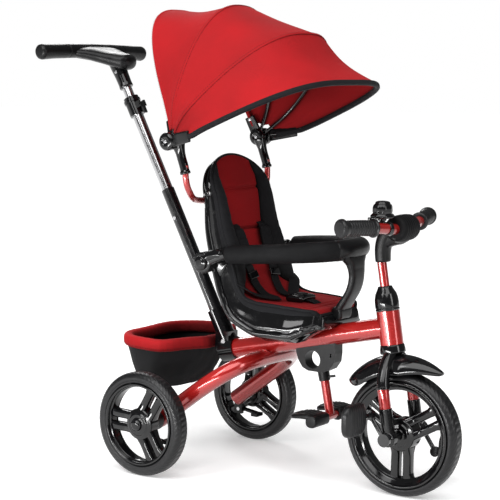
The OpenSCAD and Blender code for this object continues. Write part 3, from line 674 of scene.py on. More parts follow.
def wobble(x, seed, waves=5, low=1.0, high=4.0):
    """Smooth repeatable noise of one variable, about -1 to 1."""
    rng = np.random.default_rng(seed)
    out = 0
    for _ in range(waves):
        size = rng.uniform(0.4, 1)
        out = out + size * np.sin(rng.uniform(low, high) * x * 2 * math.pi + rng.uniform(0, 6.28))
    return out / (0.7 * waves**0.5 * 1.4)


# ---------------------------------------------------------------- canopy

# the rear, middle, front and peak hoops, in this order in each list
HUB = np.array([36.0, 0, 688])
HUB_Y = [144.5, 152, 159.5, 167]
LEAN = [-22.7, 10.9, 44.7, 66.3]  # degrees forward of upright
HOOP_H = [283, 275, 303, 328]  # height from the hub
HOOP_W = [134, 169, 190, 199]  # half width
HOOP_N = [2.9, 2.3, 2.5, 3.6]  # how square the arch is
ROOT_X = [0, 0, 0, 24]
ROOT_Z = [0, 0, 0, -8.5]
DIP_H = [0.074, 0.058, 0.062]  # sag of the cloth between two hoops
DIP_W = [0.022, 0.014, 0.034]
CLOTH_OUT = 6.3
HOOP_WIRE = 3.5


def arch(t, h, w, n, foot):
    """Distance from the hub and place across, for an angle round the arch in degrees."""
    a = np.radians(t)
    s = h * np.sin(a) ** (2 / n)
    y = w * np.abs(np.cos(a)) ** (2 / n)
    pull = np.where(s < 16, 1, np.maximum(0, 1 - (s - 16) / 90) ** 2)
    return s, (y + (foot - w) * pull) * np.where(t <= 90, 1, -1)


def lean_point(lean, s, y, dx=0.0, dz=0.0):
    a = np.radians(lean)
    ramp = np.minimum(1, s / 60)
    return HUB + np.stack([s * np.sin(a) + ramp * dx, y, s * np.cos(a) + ramp * dz], -1)


def arch_angles(h, n, start, count):
    first = np.degrees(np.arcsin((start / h) ** (n / 2)))
    return 90 - (90 - first) * np.cos(np.linspace(0, math.pi, count))


def hoop_path(k, start=8, out=0.0, count=121):
    t = arch_angles(HOOP_H[k] + out, HOOP_N[k], start, count)
    s, y = arch(t, HOOP_H[k] + out, HOOP_W[k] + out, HOOP_N[k], HUB_Y[k] + out)
    return lean_point(LEAN[k], s, y, ROOT_X[k], ROOT_Z[k])


def cloth_grid(k, count=220, rows=25):
    """Outer face of the cloth between hoops k and k + 1, and each row's share of the angle."""
    grid, share = [], np.linspace(0, 1, rows)
    for u in share:
        tables = (HOOP_H, HOOP_W, HOOP_N, HUB_Y, LEAN, ROOT_X, ROOT_Z)
        h, w, n, foot, lean, dx, dz = (v[k] + (v[k + 1] - v[k]) * u for v in tables)
        h *= 1 - DIP_H[k] * math.sin(math.pi * u) ** 0.9
        w *= 1 - DIP_W[k] * math.sin(math.pi * u) ** 0.9
        t = arch_angles(h, n, 24 + 4 * math.sin(math.pi * u), count)
        s, y = arch(t, h + CLOTH_OUT, w + CLOTH_OUT, n, foot + CLOTH_OUT)
        # gathers where the cloth runs down to the hub, and soft draws along the ribs
        ease = math.sin(math.pi * u)
        gather = 1.5 * np.exp(-((s / 120) ** 2)) * math.sin(2 * math.pi * (2.5 * u + 0.2)) * ease
        edge = min(u, 1 - u)
        pucker = 0.5 * np.exp(-((edge / 0.09) ** 2)) * np.sin(np.arange(count) * 1.35) * (edge > 0.001)
        drift = 1.1 * ease * wobble(np.linspace(0, 1, count) + 0.15 * u, 11 + k, 5, 1.0, 3.5)
        lift = (gather + pucker + drift) * np.minimum(1, s / 40)
        scale = (s + lift * 0.7) / s
        grid.append(lean_point(lean, s * scale, y + np.sign(y) * lift * 0.5, dx, dz))
    return np.array(grid), share


def blend_fan(obj):
    """Bakes a panel's transform into its mesh."""
    tuple(row(HUB + [0, 0, 100]))
    tuple(row(HUB + [100, 0, 100]))
    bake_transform(obj)


PANELS = [
    ("canopy_rear_cloth", "canopy_rear_panel", "frame", "canopy_middle", (0.70, 0.16), 0.072),
    ("canopy_top_cloth", "canopy_top_panel", "canopy_middle", "canopy_front", (0.76, 0.20), 0.092),
    ("canopy_front_cloth", "canopy_front_panel", "canopy_front", "canopy_peak", (0.82, 0.15), 0.078),
]


def build_canopy():
    """Cloth panels, seams, bindings, root plates and hub covers."""
    for k, (name, node, a, b, flat, area) in enumerate(PANELS):
        outer, share = cloth_grid(k)
        normal = surface_normals(outer)
        mid = outer[len(outer) // 2, outer.shape[1] // 2]
        if np.dot(normal[len(outer) // 2, outer.shape[1] // 2], mid - HUB) < 0:
            normal = -normal
        obj = slab(name, outer, outer - normal * 1.3, "red_cloth", None, angle=60)
        blend_fan(obj)
        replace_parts(obj, node)
    # sewn seams over the two middle ribs
    for k, body, label in ((1, "canopy_middle", "middle"), (2, "canopy_front", "front")):
        line = hoop_path(k, 26, CLOTH_OUT + 0.2, 200)
        out = unit(line - HUB)
        sweep("seam_" + label, line, circle(10, 2.6, 0.7), "red_cloth", body, ref=out)
        _, s, _ = frames(line, out)
        rows = [(line + s * w + out * 0.35, out) for w in (-2.9, 2.9)]
        stitches("seam_stitches_" + label, rows, "black_cloth", body, pitch=5.2, length=3.4, r=0.5)
    # black binding round the front edge and a red one round the rear edge
    front = (3, "canopy_peak", "front", 5.6, 1.05, "black_cloth")
    rear = (0, "frame", "rear", 4.9, 1.1, "red_cloth")
    for k, body, label, r, flat, slot in (front, rear):
        line = hoop_path(k, 22, 1.6, 200)
        tube("canopy_binding_" + label, line, r, slot, body, ref=unit(line - HUB), sides=20, fillet=4,
             count=160, flat=flat, power=2.4, curve=False)
        out = unit(line - HUB)
        _, s, _ = frames(line, out)
        inner = -1 if k else 1
        thread = line + s * inner * 5.2 + out * (r * flat * 0.82)
        stitches("binding_stitches_" + label, [(thread, out)], "black_cloth", body, pitch=4.6, length=3,
                 r=0.45)

    def root(name, side):
        for k, body, reach in ((3, "canopy_peak", 72), (0, "frame", 44)):
            path = hoop_path(k, 6, 0, 201)
            path[:, 1] += np.sign(path[:, 1]) * (4.2 if k else 0)
            if side < 0:
                path = path[::-1]
            keep = path[np.linalg.norm(path - path[0], axis=1) < reach][:100]
            lean = math.radians(LEAN[k])
            ref = (math.cos(lean), 0, -math.sin(lean))
            tube(f"hoop_root_{body}_{name}", keep, lambda x: 3.9 - 0.5 * x, "matt_black", body, ref=ref,
                 sides=20,
                 fillet=2, count=30, flat=3.4, power=4, curve=False)
            spot = keep[int(len(keep) * 0.86)]
            screw = rounded_profile([(0, 5.8), (3.6, 5.4), (4, 4.2), (4, 0), (0, 0)], 0.6)
            turned(f"root_screw_{body}_{name}", screw, spot, (0, -side, 0), "plain_steel", body, sides=24)
        # covers on the outer and inner face of the hub, each with a screw
        outer = [(0, 12), (7, 12), (9, 13.4), (15, 12.6), (18.4, 9), (18.6, -3), (15, -5), (0, -5)]
        turned(f"hub_cover_{name}", rounded_profile(outer, 2.5, 4),
               (HUB[0], side * 166, HUB[2]), (0, side, 0), "gloss_black", "frame")
        inner = [(0, 3), (6, 3), (8, 4.6), (14.5, 4), (18, 1), (18.4, -4), (0, -4)]
        turned(f"hub_inner_{name}", rounded_profile(inner, 2, 4),
               (HUB[0], side * 140.6, HUB[2]), (0, -side, 0), "gloss_black", "frame")
        for y in (179.2, 137.6):
            way = 1 if y > 150 else -1
            screw = rounded_profile([(0, 1), (3.4, 1), (4, 0.4), (4, -2), (0, -2)], 0.5)
            turned(f"hub_screw_{name}_{int(y)}", screw,
                   (HUB[0], side * y, HUB[2]), (0, side * way, 0), "plain_steel", "frame", sides=24)

    both(root)


# ---------------------------------------------------------------- seat

# side view of the padding's face from the top of the back to the front edge, as (x, z)
SEAT_LINE = [(64, 655), (79, 622), (95, 582), (112, 505), (126, 465), (143, 420),
             (158, 388), (178, 368), (205, 361), (250, 360), (300, 359), (340, 357)]
BEND_Z = 388  # where the back turns into the seat
SHOULDER_Z = 585  # above this the back rounds off
CHANNELS_Z = (588, 505, 432)  # sewn channels across the back


class SeatFace:
    """Front face of the padding in side view, by distance along it from the top."""

    def __init__(self, count=150):
        p = smooth([(x, 0, z) for x, z in SEAT_LINE], count)
        self.x, self.z = p[:, 0], p[:, 2]
        self.d = np.concatenate([[0], np.cumsum(np.hypot(np.diff(self.x), np.diff(self.z)))])
        t = unit(np.stack([np.gradient(self.x), np.gradient(self.z)], -1))
        self.normal = np.stack([-t[:, 1], t[:, 0]], -1)
        self.tangent = t
        self.length = self.d[-1]
        self.bend = self.at_z(BEND_Z)

    def sample(self, s):
        """Point and outward direction at distance s."""
        f = lambda v: np.interp(s, self.d, v)
        return f(self.x), f(self.z), f(self.normal[:, 0]), f(self.normal[:, 1])

    def outward(self, s):
        _, _, nx, nz = self.sample(s)
        return np.stack([nx, np.zeros_like(nx), nz], -1)

    def at_z(self, z):
        """Distance along the back at height z."""
        k = np.argmin(np.abs(np.where(self.x < 165, self.z, 1e9) - z))
        return self.d[k]

    def place(self, s, y, lift):
        x, z, nx, nz = self.sample(s)
        return np.stack(np.broadcast_arrays(x + nx * lift, y, z + nz * lift), -1)

    def half(self, s):
        """Half width of the padding."""
        z = self.sample(s)[1]
        top = 98 * np.maximum(0, 1 - np.clip((z - SHOULDER_Z) / 70.5, 0, 1) ** 2.1) ** 0.52
        marks = [self.at_z(SHOULDER_Z), self.at_z(465), self.bend, self.length - 60, self.length]
        body = np.interp(s, marks, [97, 99.5, 101, 98, 86])
        front = np.clip((s - (self.length - 22)) / 22, 0, 1)
        return np.where(z > SHOULDER_Z, top, body) - 16 * front**2.5

    def red_half(self, s):
        """Half width of the red centre panel."""
        marks = [self.at_z(v) for v in (650, 636, 612, 585, 505, 430, 400)]
        b = np.interp(s, marks + [self.bend + 22, self.length], [60, 60, 66, 62, 54, 48, 66, 100, 97])
        return np.minimum(b, self.half(s) - 2.5)

    def curl(self, s, y):
        """How far the padding stands forward towards its edges."""
        marks = [0, self.at_z(600), self.at_z(430), self.bend + 30, self.length]
        k = np.interp(s, marks, [5, 10, 18, 12, 7])
        return k * (np.abs(y) / np.maximum(self.half(s), 8)) ** 2.6

    def red_lift(self, s, y):
        """Height of the red panel over the face, with its sewn channels."""
        b = np.maximum(self.red_half(s), 1)
        lift = self.curl(s, y) + 5.5 * (1 - (np.abs(y) / b) ** 2.4)
        for z in CHANNELS_Z:
            lift = lift - 4.2 * np.exp(-(((s - self.at_z(z)) / 3.2) ** 2))
        for x in (300, 316):
            at = np.interp(x, self.x[self.x > 180], self.d[self.x > 180])
            lift = lift - 2.6 * np.exp(-(((s - at) / 2.6) ** 2)) * (np.abs(y) < b - 6)
        on_seat = np.clip((s - self.bend - 45) / 14, 0, 1)
        lift = lift - 2.6 * on_seat * np.exp(-(((np.abs(y) - (b - 17)) / 2.4) ** 2))
        return lift


def build_seat():
    """Red centre panel, black bolsters, piping, stitches and the shell under them."""
    face = SeatFace()
    s = face.length * np.linspace(0.004, 1, 190)
    b, w = face.red_half(s), face.half(s)
    # red centre panel
    q = np.linspace(-1, 1, 47)
    y = b[:, None] * q
    ss = np.broadcast_to(s[:, None], y.shape)
    edge = 1 - np.clip((1 - np.abs(q)) / 0.06, 0, 1)
    lift = face.red_lift(ss, y) - 3.2 * edge[None] ** 1.5
    lift = lift + 0.5 * wobble(ss / 90, 3) * (1 - q[None] ** 2)
    # the front edge rolls over
    roll = np.clip((ss - (face.length - 9)) / 9, 0, 1)
    lift = lift - 7 * roll**2.2
    front = face.place(ss, y, lift)
    back = face.place(ss, y, np.full_like(ss, -8.0))
    panel = slab("seat_pad_red", front, back, "red_cloth", "frame", angle=70)
    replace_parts(panel, "seat_cushion", "seat_back_pad")

    def bolster(name, side):
        q = np.linspace(0, 1, 21)
        y = side * (b[:, None] + (w - b)[:, None] * q)
        ss = np.broadcast_to(s[:, None], y.shape)
        marks = [0, face.at_z(600), face.at_z(485), face.at_z(440), face.bend + 10, face.length]
        tall = np.interp(s, marks, [4, 9, 17, 17, 9, 5])[:, None]
        room = np.clip((w - b) / 18, 0.15, 1)[:, None]
        hump = np.sin(math.pi * np.clip(q, 0, 1)) ** 0.75
        lift = face.curl(ss, y) + tall * room * hump[None] - 3.0 * (q[None] < 0.02) - 2.5 * (q[None] > 0.98)
        lift = lift + 0.9 * wobble(ss / 70 + q[None] * 0.3, 7 + side) * hump[None] * room
        lift = lift - 6 * np.clip((ss - (face.length - 9)) / 9, 0, 1) ** 2.2
        back = face.place(ss, y, np.full_like(ss, -8.5))
        obj = slab(f"seat_bolster_{name}", face.place(ss, y, lift), back, "black_cloth", "frame", angle=70)
        return obj

    both(bolster)
    # piping round the outer edge
    sp = face.length * np.linspace(0.002, 0.985, 90)
    marks = [face.at_z(600), face.at_z(560), face.at_z(480), face.at_z(430)]
    wp = face.half(sp) + np.interp(sp, marks, [1, -1.6, -1.6, 1])
    side = face.place(sp, wp, face.curl(sp, wp) - 3)
    tip = face.length
    wt = face.half(np.array([tip]))[0]
    across = face.place(np.full(25, tip + 1.0), np.linspace(wt, -wt, 25), -5.0)
    loop = np.vstack([side, across, (side * [1, -1, 1])[::-1][:-1]])
    loop = smooth(loop, 420, closed=True)
    sweep("seat_piping", loop, circle(12, 3.0), "black_cloth", "frame", ref=(0.3, 0.02, 1), closed=True)
    seams = []
    for sgn in (1, -1):
        yy = sgn * (b - 3.4)
        keep = b > 12
        seams.append((face.place(s[keep], yy[keep], face.red_lift(s[keep], yy[keep]) - 1.2), (0.6, 0, 0.8)))
    for z in CHANNELS_Z:
        at = face.at_z(z)
        bb = float(face.red_half(np.array([at]))[0]) - 4
        yy = np.linspace(-bb, bb, 60)
        sv = np.full(60, at)
        seams.append((face.place(sv, yy, face.red_lift(sv, yy) + 0.3), (1, 0, 0.2)))
    stitches("seat_stitches", seams, "black_cloth", "frame", pitch=4.4, length=3, r=0.45)
    build_shell(face)


def build_shell(face):
    """Glossy moulded bucket under and behind the padding."""
    s = face.length * np.linspace(0.0, 1.0, 110)
    base = face.bend
    marks = [0, face.at_z(582), face.at_z(465), base, base + 24, base + 70, base + 145, face.length]
    lip = np.interp(s, marks, [7, 16, 25, 29, 37, 50, 49, 28])
    belly = np.interp(s, marks, [3, 6, 8, 9, 14, 22, 19, 7])
    width = face.half(s) + np.interp(s, marks, [2, 3, 4, 6, 8, 10, 10, 6])
    x, z, nx, nz = face.sample(s)
    tube_top = 241 + 0.2320 * (x - 62) + 22.6
    rings = []
    for i in range(len(s)):
        W, L, B = width[i], lip[i], belly[i]
        wide = face.half(s[i : i + 1])[0]
        deep = L + B
        channel = L + 0.8 * B
        if s[i] > base:
            channel = min(channel, (z[i] - tube_top[i]) / max(nz[i], 0.3) - 1.0)
            channel = max(channel, 12)
        rise = 6 - face.curl(s[i : i + 1], np.array([wide]))[0]
        # from the padding's edge out over the lip, down round the belly and in to the tube's channel
        half = [(wide - 2, rise), (wide + 2, 0.35 * L), (W - 1, 0.75 * L), (W - 0.5, L - 4.0),
                (W + 2.6, L - 2.6), (W + 3.2, L), (W + 2.6, L + 2.4), (W - 1.5, L + 3.4),
                (W - 7, L + 4 + 0.25 * B), (0.82 * W, L + 0.7 * B), (0.66 * W, deep - 0.5), (0.5 * W, deep),
                (0.36 * W, deep - 0.6), (0.29 * W, min(deep - 2, channel + 3)), (0.25 * W, channel),
                (0.12 * W, channel - 0.3), (0, channel - 0.3)]
        half = smooth([(a, 0, c) for a, c in half], 56)
        y = np.concatenate([half[:, 0], -half[::-1][1:, 0]])
        dep = np.concatenate([half[:, 2], half[::-1][1:, 2]])
        # close across the top, under the padding
        mid = np.linspace(-(wide - 2), wide - 2, 16)[1:-1]
        y = np.concatenate([y, mid])
        dep = np.concatenate([dep, np.full(len(mid), 6.0)])
        rings.append(np.stack([x[i] - nx[i] * dep, y, z[i] - nz[i] * dep], -1))
    rings = np.array(rings)
    # rounded nose at the front
    last, t = rings[-1], np.array([face.tangent[-1][0], 0, face.tangent[-1][1]])
    centre = last.mean(0)
    nose = []
    for a in np.linspace(0.2, 1, 7):
        k = math.sqrt(max(0, 1 - (a * 0.985) ** 2))
        ring = centre + (last - centre) * [1, 0.9 + 0.1 * k, k] + t * 13 * a + np.array([0, 0, -3.0 * a])
        nose.append(ring)
    rings = np.concatenate([rings, np.array(nose)])
    shell = skin("seat_bucket", rings, "gloss_black", "frame", angle=55)
    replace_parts(shell, "seat_shell")

    def lip_roll(name, side):
        at = s > face.at_z(560)
        y, dep = side * (width[at] - 1.5), lip[at] + 1.0
        line = np.stack([x[at] - nx[at] * dep, y, z[at] - nz[at] * dep], -1)
        thick = lambda v: 2.6 + 6.2 * math.sin(math.pi * min(1, 0.05 + 0.95 * v)) ** 0.7
        tube(f"seat_lip_{name}", line, thick, "gloss_black", "frame", ref=(0, 1, 0), sides=32, fillet=2,
             count=90)

    both(lip_roll)

    def ear(name, side):
        path = mirrored([(132, 99, 428), (116, 102, 436), (98, 103, 443), (90, 103, 444)], side)
        tube(f"seat_ear_{name}", path, 6, "gloss_black", "frame", fillet=5, flat=3.0, power=3.2, count=24)

    both(ear)

    def saddle(name, side):
        path = mirrored([(84, 52, 560), (70, 52, 563), (55, 52, 565), (46, 52, 566)], side)
        tube(f"post_saddle_{name}", path, 15, "gloss_black", "frame", fillet=4, flat=0.72, power=4,
             count=20)

    both(saddle)


def build_harness():
    """Shoulder straps with pads, lap belts and the buckle."""
    face = SeatFace()

    def strap(name, side):
        slot_s = face.at_z(516)
        end_s = face.bend + 58
        s = np.linspace(slot_s, end_s, 90)
        y = side * np.interp(s, [slot_s, face.at_z(432), face.bend, end_s], [47, 42, 36, 24])
        marks = [slot_s, slot_s + 10, face.at_z(432), face.at_z(395), end_s]
        lie = face.red_lift(s, y) + np.interp(s, marks, [-2, 9, 9, 5, 4.5])
        line = face.place(s, y, lie)
        sweep(f"harness_web_{name}", line, circle(20, 12.5, 1.1, 6), "black_cloth", "frame",
              ref=face.outward(s))
        pad_s = np.linspace(face.at_z(508), face.at_z(434), 60)
        py = np.interp(pad_s, s, y)
        lie = face.red_lift(pad_s, py) + 9.5
        line = face.place(pad_s, py, lie)
        fill = np.sin(np.linspace(0, math.pi, 60)) ** 0.25
        along = np.linspace(-1, 1, 60)
        quilt = 1 - 0.22 * (np.exp(-((along + 0.33) / 0.06) ** 2) + np.exp(-((along - 0.33) / 0.06) ** 2))
        scale = np.stack([0.3 + 0.7 * fill, (0.35 + 0.65 * fill) * quilt], -1)
        prof = circle(28, 18, 5.6, 3.2)[None] * scale[:, None]
        pad = sweep(f"harness_pad_{name}", line, prof, "black_cloth", "frame",
                    ref=face.outward(pad_s), angle=70)
        # slider below the pad
        at = face.at_z(418)
        ends = np.array([at, at + 16.0])
        across = np.interp(ends, s, y)
        c = face.place(ends, across, face.red_lift(ends, across) + 9)
        tube(f"harness_slider_{name}", [c[0], (c[0] + c[1]) / 2, c[1]], 16, "gloss_black", "frame",
             ref=face.outward(at + 8), sides=24, fillet=2, flat=0.16, power=5, count=14)
        # lap webbing from the side of the seat to the buckle
        lap_s = np.array([face.at_z(400)] + [face.bend + v for v in (6, 30, 52, 72)])
        lap_y = side * np.array([97, 90, 72, 48, 28])
        lift = face.red_lift(lap_s, lap_y * 0.8) + np.array([4, 10, 9, 6, 5])
        lap = smooth(face.place(lap_s, lap_y, lift), 60)
        sweep(f"harness_lap_{name}", lap, circle(20, 11.5, 1.1, 6), "black_cloth", "frame",
              ref=(0.35, -side * 0.25, 0.9))

    both(strap)
    # buckle and its press plate
    cx, cz = 252, 371
    line = [(cx, -27, cz), (cx, -14, cz + 2.5), (cx, 0, cz + 3), (cx, 14, cz + 2.5), (cx, 27, cz)]
    body = tube("harness_buckle", line, 21, "gloss_black", "frame", sides=36, fillet=5, flat=0.36,
                power=3.4, count=30)
    line = [(cx + 3, -9, cz + 10), (cx + 3, 0, cz + 10.6), (cx + 3, 9, cz + 10)]
    tube("buckle_plate", line, 11, "matt_black", "frame", sides=28, fillet=3, flat=0.2, power=3, count=14)
    tail = [(266, 0, 371), (276, 0, 370), (286, 0, 368), (294, 0, 364)]
    sweep("harness_crotch_web", smooth(tail, 40), circle(20, 12.5, 1.1, 6), "black_cloth", "frame")
    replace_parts(body, "harness")


# ---------------------------------------------------------------- basket

BASKET_X = -43
RIM_Z = 259
BAG_TOP, BAG_LOW = 251, 162
BASE_BACK = 29  # the base sits this far behind the rim
BASKET_FRONT = 0  # its sides draw in from here forwards


def rounded_loop(a, b, r, count=260):
    """Rounded rectangle with half sizes a (x) and b (y), as evenly spaced points."""
    pts = []
    u, v = a - r, b - r
    for cx, cy, start in ((u, v, 0), (-u, v, 90), (-u, -v, 180), (u, -v, 270)):
        for d in np.linspace(0, 90, 13):
            t = math.radians(start + d)
            pts.append((cx + r * math.cos(t), cy + r * math.sin(t), 0))
    return smooth(pts, count, closed=True)


def basket_outline(p):
    """Draws a closed loop in towards its front and back from the push bar socket."""
    p = p.copy()
    ahead = np.clip((p[:, 0] - BASKET_FRONT) / 60, 0, 1) ** 1.3
    p[:, 1] *= 1 - 0.42 * ahead
    p[:, 0] -= 34 * np.clip(np.abs(p[:, 1]) / 80, 0, 1) ** 1.2 * np.clip((p[:, 0] + 20) / 70, 0, 1)
    for _ in range(70):
        p = (np.roll(p, 1, 0) + 2 * p + np.roll(p, -1, 0)) / 4
    p[:, 0] -= 13 * np.exp(-((p[:, 1] / 27) ** 4)) * (p[:, 0] > BASKET_X + 40)
    return p


def build_basket():
    """Padded rim and cloth bag."""
    loop = rounded_loop(104 - 10.2, 142 - 10.2, 72)
    n = len(loop)
    turn = np.arange(n) / n
    loop = basket_outline(loop + [BASKET_X, 0, RIM_Z])
    loop[:, 2] += 0.8 * wobble(turn * 3, 21, 5, 1, 3)
    base = circle(28, 10.2, 13, 2.6)
    fat = 1 + 0.03 * np.sin(turn * 2 * math.pi * 60) * 0.6 + 0.02 * wobble(turn * 8, 5)
    prof = base[None] * np.stack([fat, 1 + (fat - 1) * 0.6], -1)[:, None]
    rim = sweep("basket_band", loop, prof, "red_cloth", "frame", closed=True, angle=70)
    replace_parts(rim, "basket_rim", "basket_hoop")
    top = basket_outline(rounded_loop(95, 134, 70) + [BASKET_X, 0, 0])
    low = rounded_loop(52, 89, 46) + [BASKET_X - BASE_BACK, 0, 0]
    _, s, u = frames(loop, (0, 0, 1), True)
    if np.dot(s[0], loop[0] - [BASKET_X, 0, RIM_Z]) < 0:
        s = -s
    stitches("band_stitches", [(loop + s * 9.6 + u * -7.0, s)], "black_cloth", "frame", pitch=5, length=3.2,
             r=0.45)
    rings = []
    for v in np.linspace(0, 1, 26):
        p = top + (low - top) * v
        centre = np.array([BASKET_X - BASE_BACK * v, 0, 0])
        out = unit(p - centre)
        sag = 3.0 * math.sin(math.pi * v) * (0.7 + 0.3 * wobble(turn * 2, 31, 4, 1, 3))
        fold = 0.9 * math.sin(math.pi * min(1, v * 1.1)) * wobble(turn * 5 + 0.25 * v, 33, 6, 1, 4)
        q = p + out * (sag + fold)[:, None]
        q[:, 2] = BAG_TOP - (BAG_TOP - BAG_LOW) * v + 1.4 * wobble(turn * 3 + v, 35) * v
        rings.append(q)
    centre = np.array([BASKET_X - BASE_BACK, 0, 0])
    edge = rings[-1]
    for v in (0.985, 0.95, 0.88, 0.76, 0.6, 0.4, 0.2, 0.03):
        q = centre + (edge - centre) * [v, v, 0]
        q[:, 2] = 160.2 - 2.6 * (1 - v**2) + 0.8 * (v > 0.97) + 0.9 * wobble(turn * 2 + v * 2,
                41) * (v < 0.95) * v
        rings.append(q)
    outer = np.array(rings)
    m = len(outer)
    normal = unit(np.cross(np.gradient(outer, axis=0), np.roll(outer, -1, 1) - np.roll(outer, 1, 1)))
    if np.dot(normal[5, 0], outer[5, 0] - [BASKET_X, 0, outer[5, 0][2]]) < 0:
        normal = -normal
    inner = outer - normal * 2.0
    verts = np.vstack([outer.reshape(-1, 3), inner.reshape(-1, 3)])
    faces = grid_faces(m, n, wrap_n=True) + grid_faces(m, n, wrap_n=True, start=m * n, flip=True)
    faces += [(j, (j + 1) % n, m * n + (j + 1) % n, m * n + j) for j in range(n)]
    e = (m - 1) * n
    faces += [[e + j for j in range(n)], [m * n + e + j for j in range(n)][::-1]]
    bag = make("basket_bag_cloth", verts, faces, "black_cloth", "frame", angle=60)
    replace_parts(bag, "basket_bag")
    seam = [np.argmin(abs(turn - t)) for t in (0.125, 0.375, 0.625, 0.875)]
    rows = [(outer[1:25, j] + normal[1:25, j] * 0.3, normal[1:25, j]) for j in seam]
    stitches("bag_stitches", rows, "black_cloth", "frame", pitch=4.6, length=3, r=0.5)


# ---------------------------------------------------------------- safety bar


def guard(t, n=2.5):
    """Centre line of the safety bar, for an angle round it from the front in degrees."""
    a = np.radians(t)
    c = np.abs(np.cos(a)) ** (2 / n)
    s = np.abs(np.sin(a)) ** (2 / n) * np.sign(a)
    x = 96 + 276 * c
    return np.stack([x, 122 * s, 462 + 0.085 * (x - 132)], -1)


def guard_piece(t0, t1, count=80):
    """Evenly spaced points on the safety bar's centre line."""
    p = guard(np.linspace(t0, t1, 400))
    d = np.concatenate([[0], np.cumsum(np.linalg.norm(np.diff(p, axis=0), axis=1))])
    s = np.linspace(0, d[-1], count)
    return np.stack([np.interp(s, d, p[:, k]) for k in range(3)], -1)


def build_guard():
    """Foam sleeves, crotch post and knuckles of the safety bar."""
    def sleeve(name, side):
        path = guard_piece(side * 13, side * 82)
        thick = lambda x: 20.3 + 0.3 * math.sin(9 * x) - 2.8 * x**3
        obj = tube(f"guard_foam_{name}", path, thick, "black_foam", "safety_bar",
                   sides=36, fillet=4, count=90, curve=False, angle=60)
        return obj

    foam_parts = both(sleeve)
    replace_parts(foam_parts[0], "safety_bar_sleeves")
    head = tube("guard_head", guard_piece(-19, 19), 20.9, "matt_black", "safety_bar",
                sides=36, fillet=6, count=40, curve=False)
    line = [(371, 0, 480), (377, 0, 466), (382, 0, 450), (384, 0, 428), (379, 0, 404), (367, 0, 382),
            (355, 0, 364)]
    line = smooth(line, 70)
    share = np.linspace(0, 1, 70)
    wide = np.interp(share, [0, 0.08, 0.22, 0.4, 0.8, 1], [44, 42, 27, 22.5, 21.5, 23])
    thick = np.interp(share, [0, 0.12, 0.3, 0.8, 1], [12, 12, 8.5, 8, 8.5])
    prof = circle(32, 1, 1, 3.6)[None] * np.stack([wide, thick], -1)[:, None]
    sweep("guard_post", line, prof, "matt_black", "safety_bar", ref=(1, 0, 0.01), angle=50)
    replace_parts(head, "crotch_post")
    line = [(351, -22, 352), (351, -8, 353), (351, 8, 353), (351, 22, 352)]
    tube("guard_foot", line, 12, "matt_black", "safety_bar", sides=28, fillet=5, flat=1.1, power=3,
         count=24)

    def knuckle(name, side):
        arm = [(98, 122, 444), (101, 122, 450), (108, 121.5, 456), (122, 121, 460.5), (140, 120, 462.3)]
        tube(f"guard_arm_{name}", mirrored(arm, side), 11.5, "gloss_black", "safety_bar", sides=28,
             fillet=3, count=30)
        drum = [(0, -11.4), (20.5, -11.4), (22, -9), (22, 9), (19.5, 11.6), (0, 11.6)]
        turned(f"guard_knuckle_{name}", rounded_profile(drum, 2.6, 4), (KNUCKLE_X, side * 119.6, KNUCKLE_Z),
               (0, side, 0),
               "gloss_black", "safety_bar", sides=72, lobes=(5, 0.012))
        cap = [(0, 5), (8, 5), (10.5, 3.6), (13.5, 3), (14.6, 0), (14.6, -2.6), (0, -2.6)]
        turned(f"knuckle_cap_{name}", rounded_profile(cap, 1.4, 4), (KNUCKLE_X, side * 134, KNUCKLE_Z),
               (0, side, 0),
               "gloss_black", "frame", sides=48)

    both(knuckle)


# ---------------------------------------------------------------- steering

BAR = np.array([486.0, 0, 533])


def bar_point(y):
    """Centre line of the handlebar, swept back and up towards its ends."""
    a = np.maximum(0, np.abs(y) - 34) / 131
    return np.stack([BAR[0] - 36 * a**1.2, y, BAR[2] + 9 * np.sin(np.pi / 2 * np.minimum(a, 1))], -1)


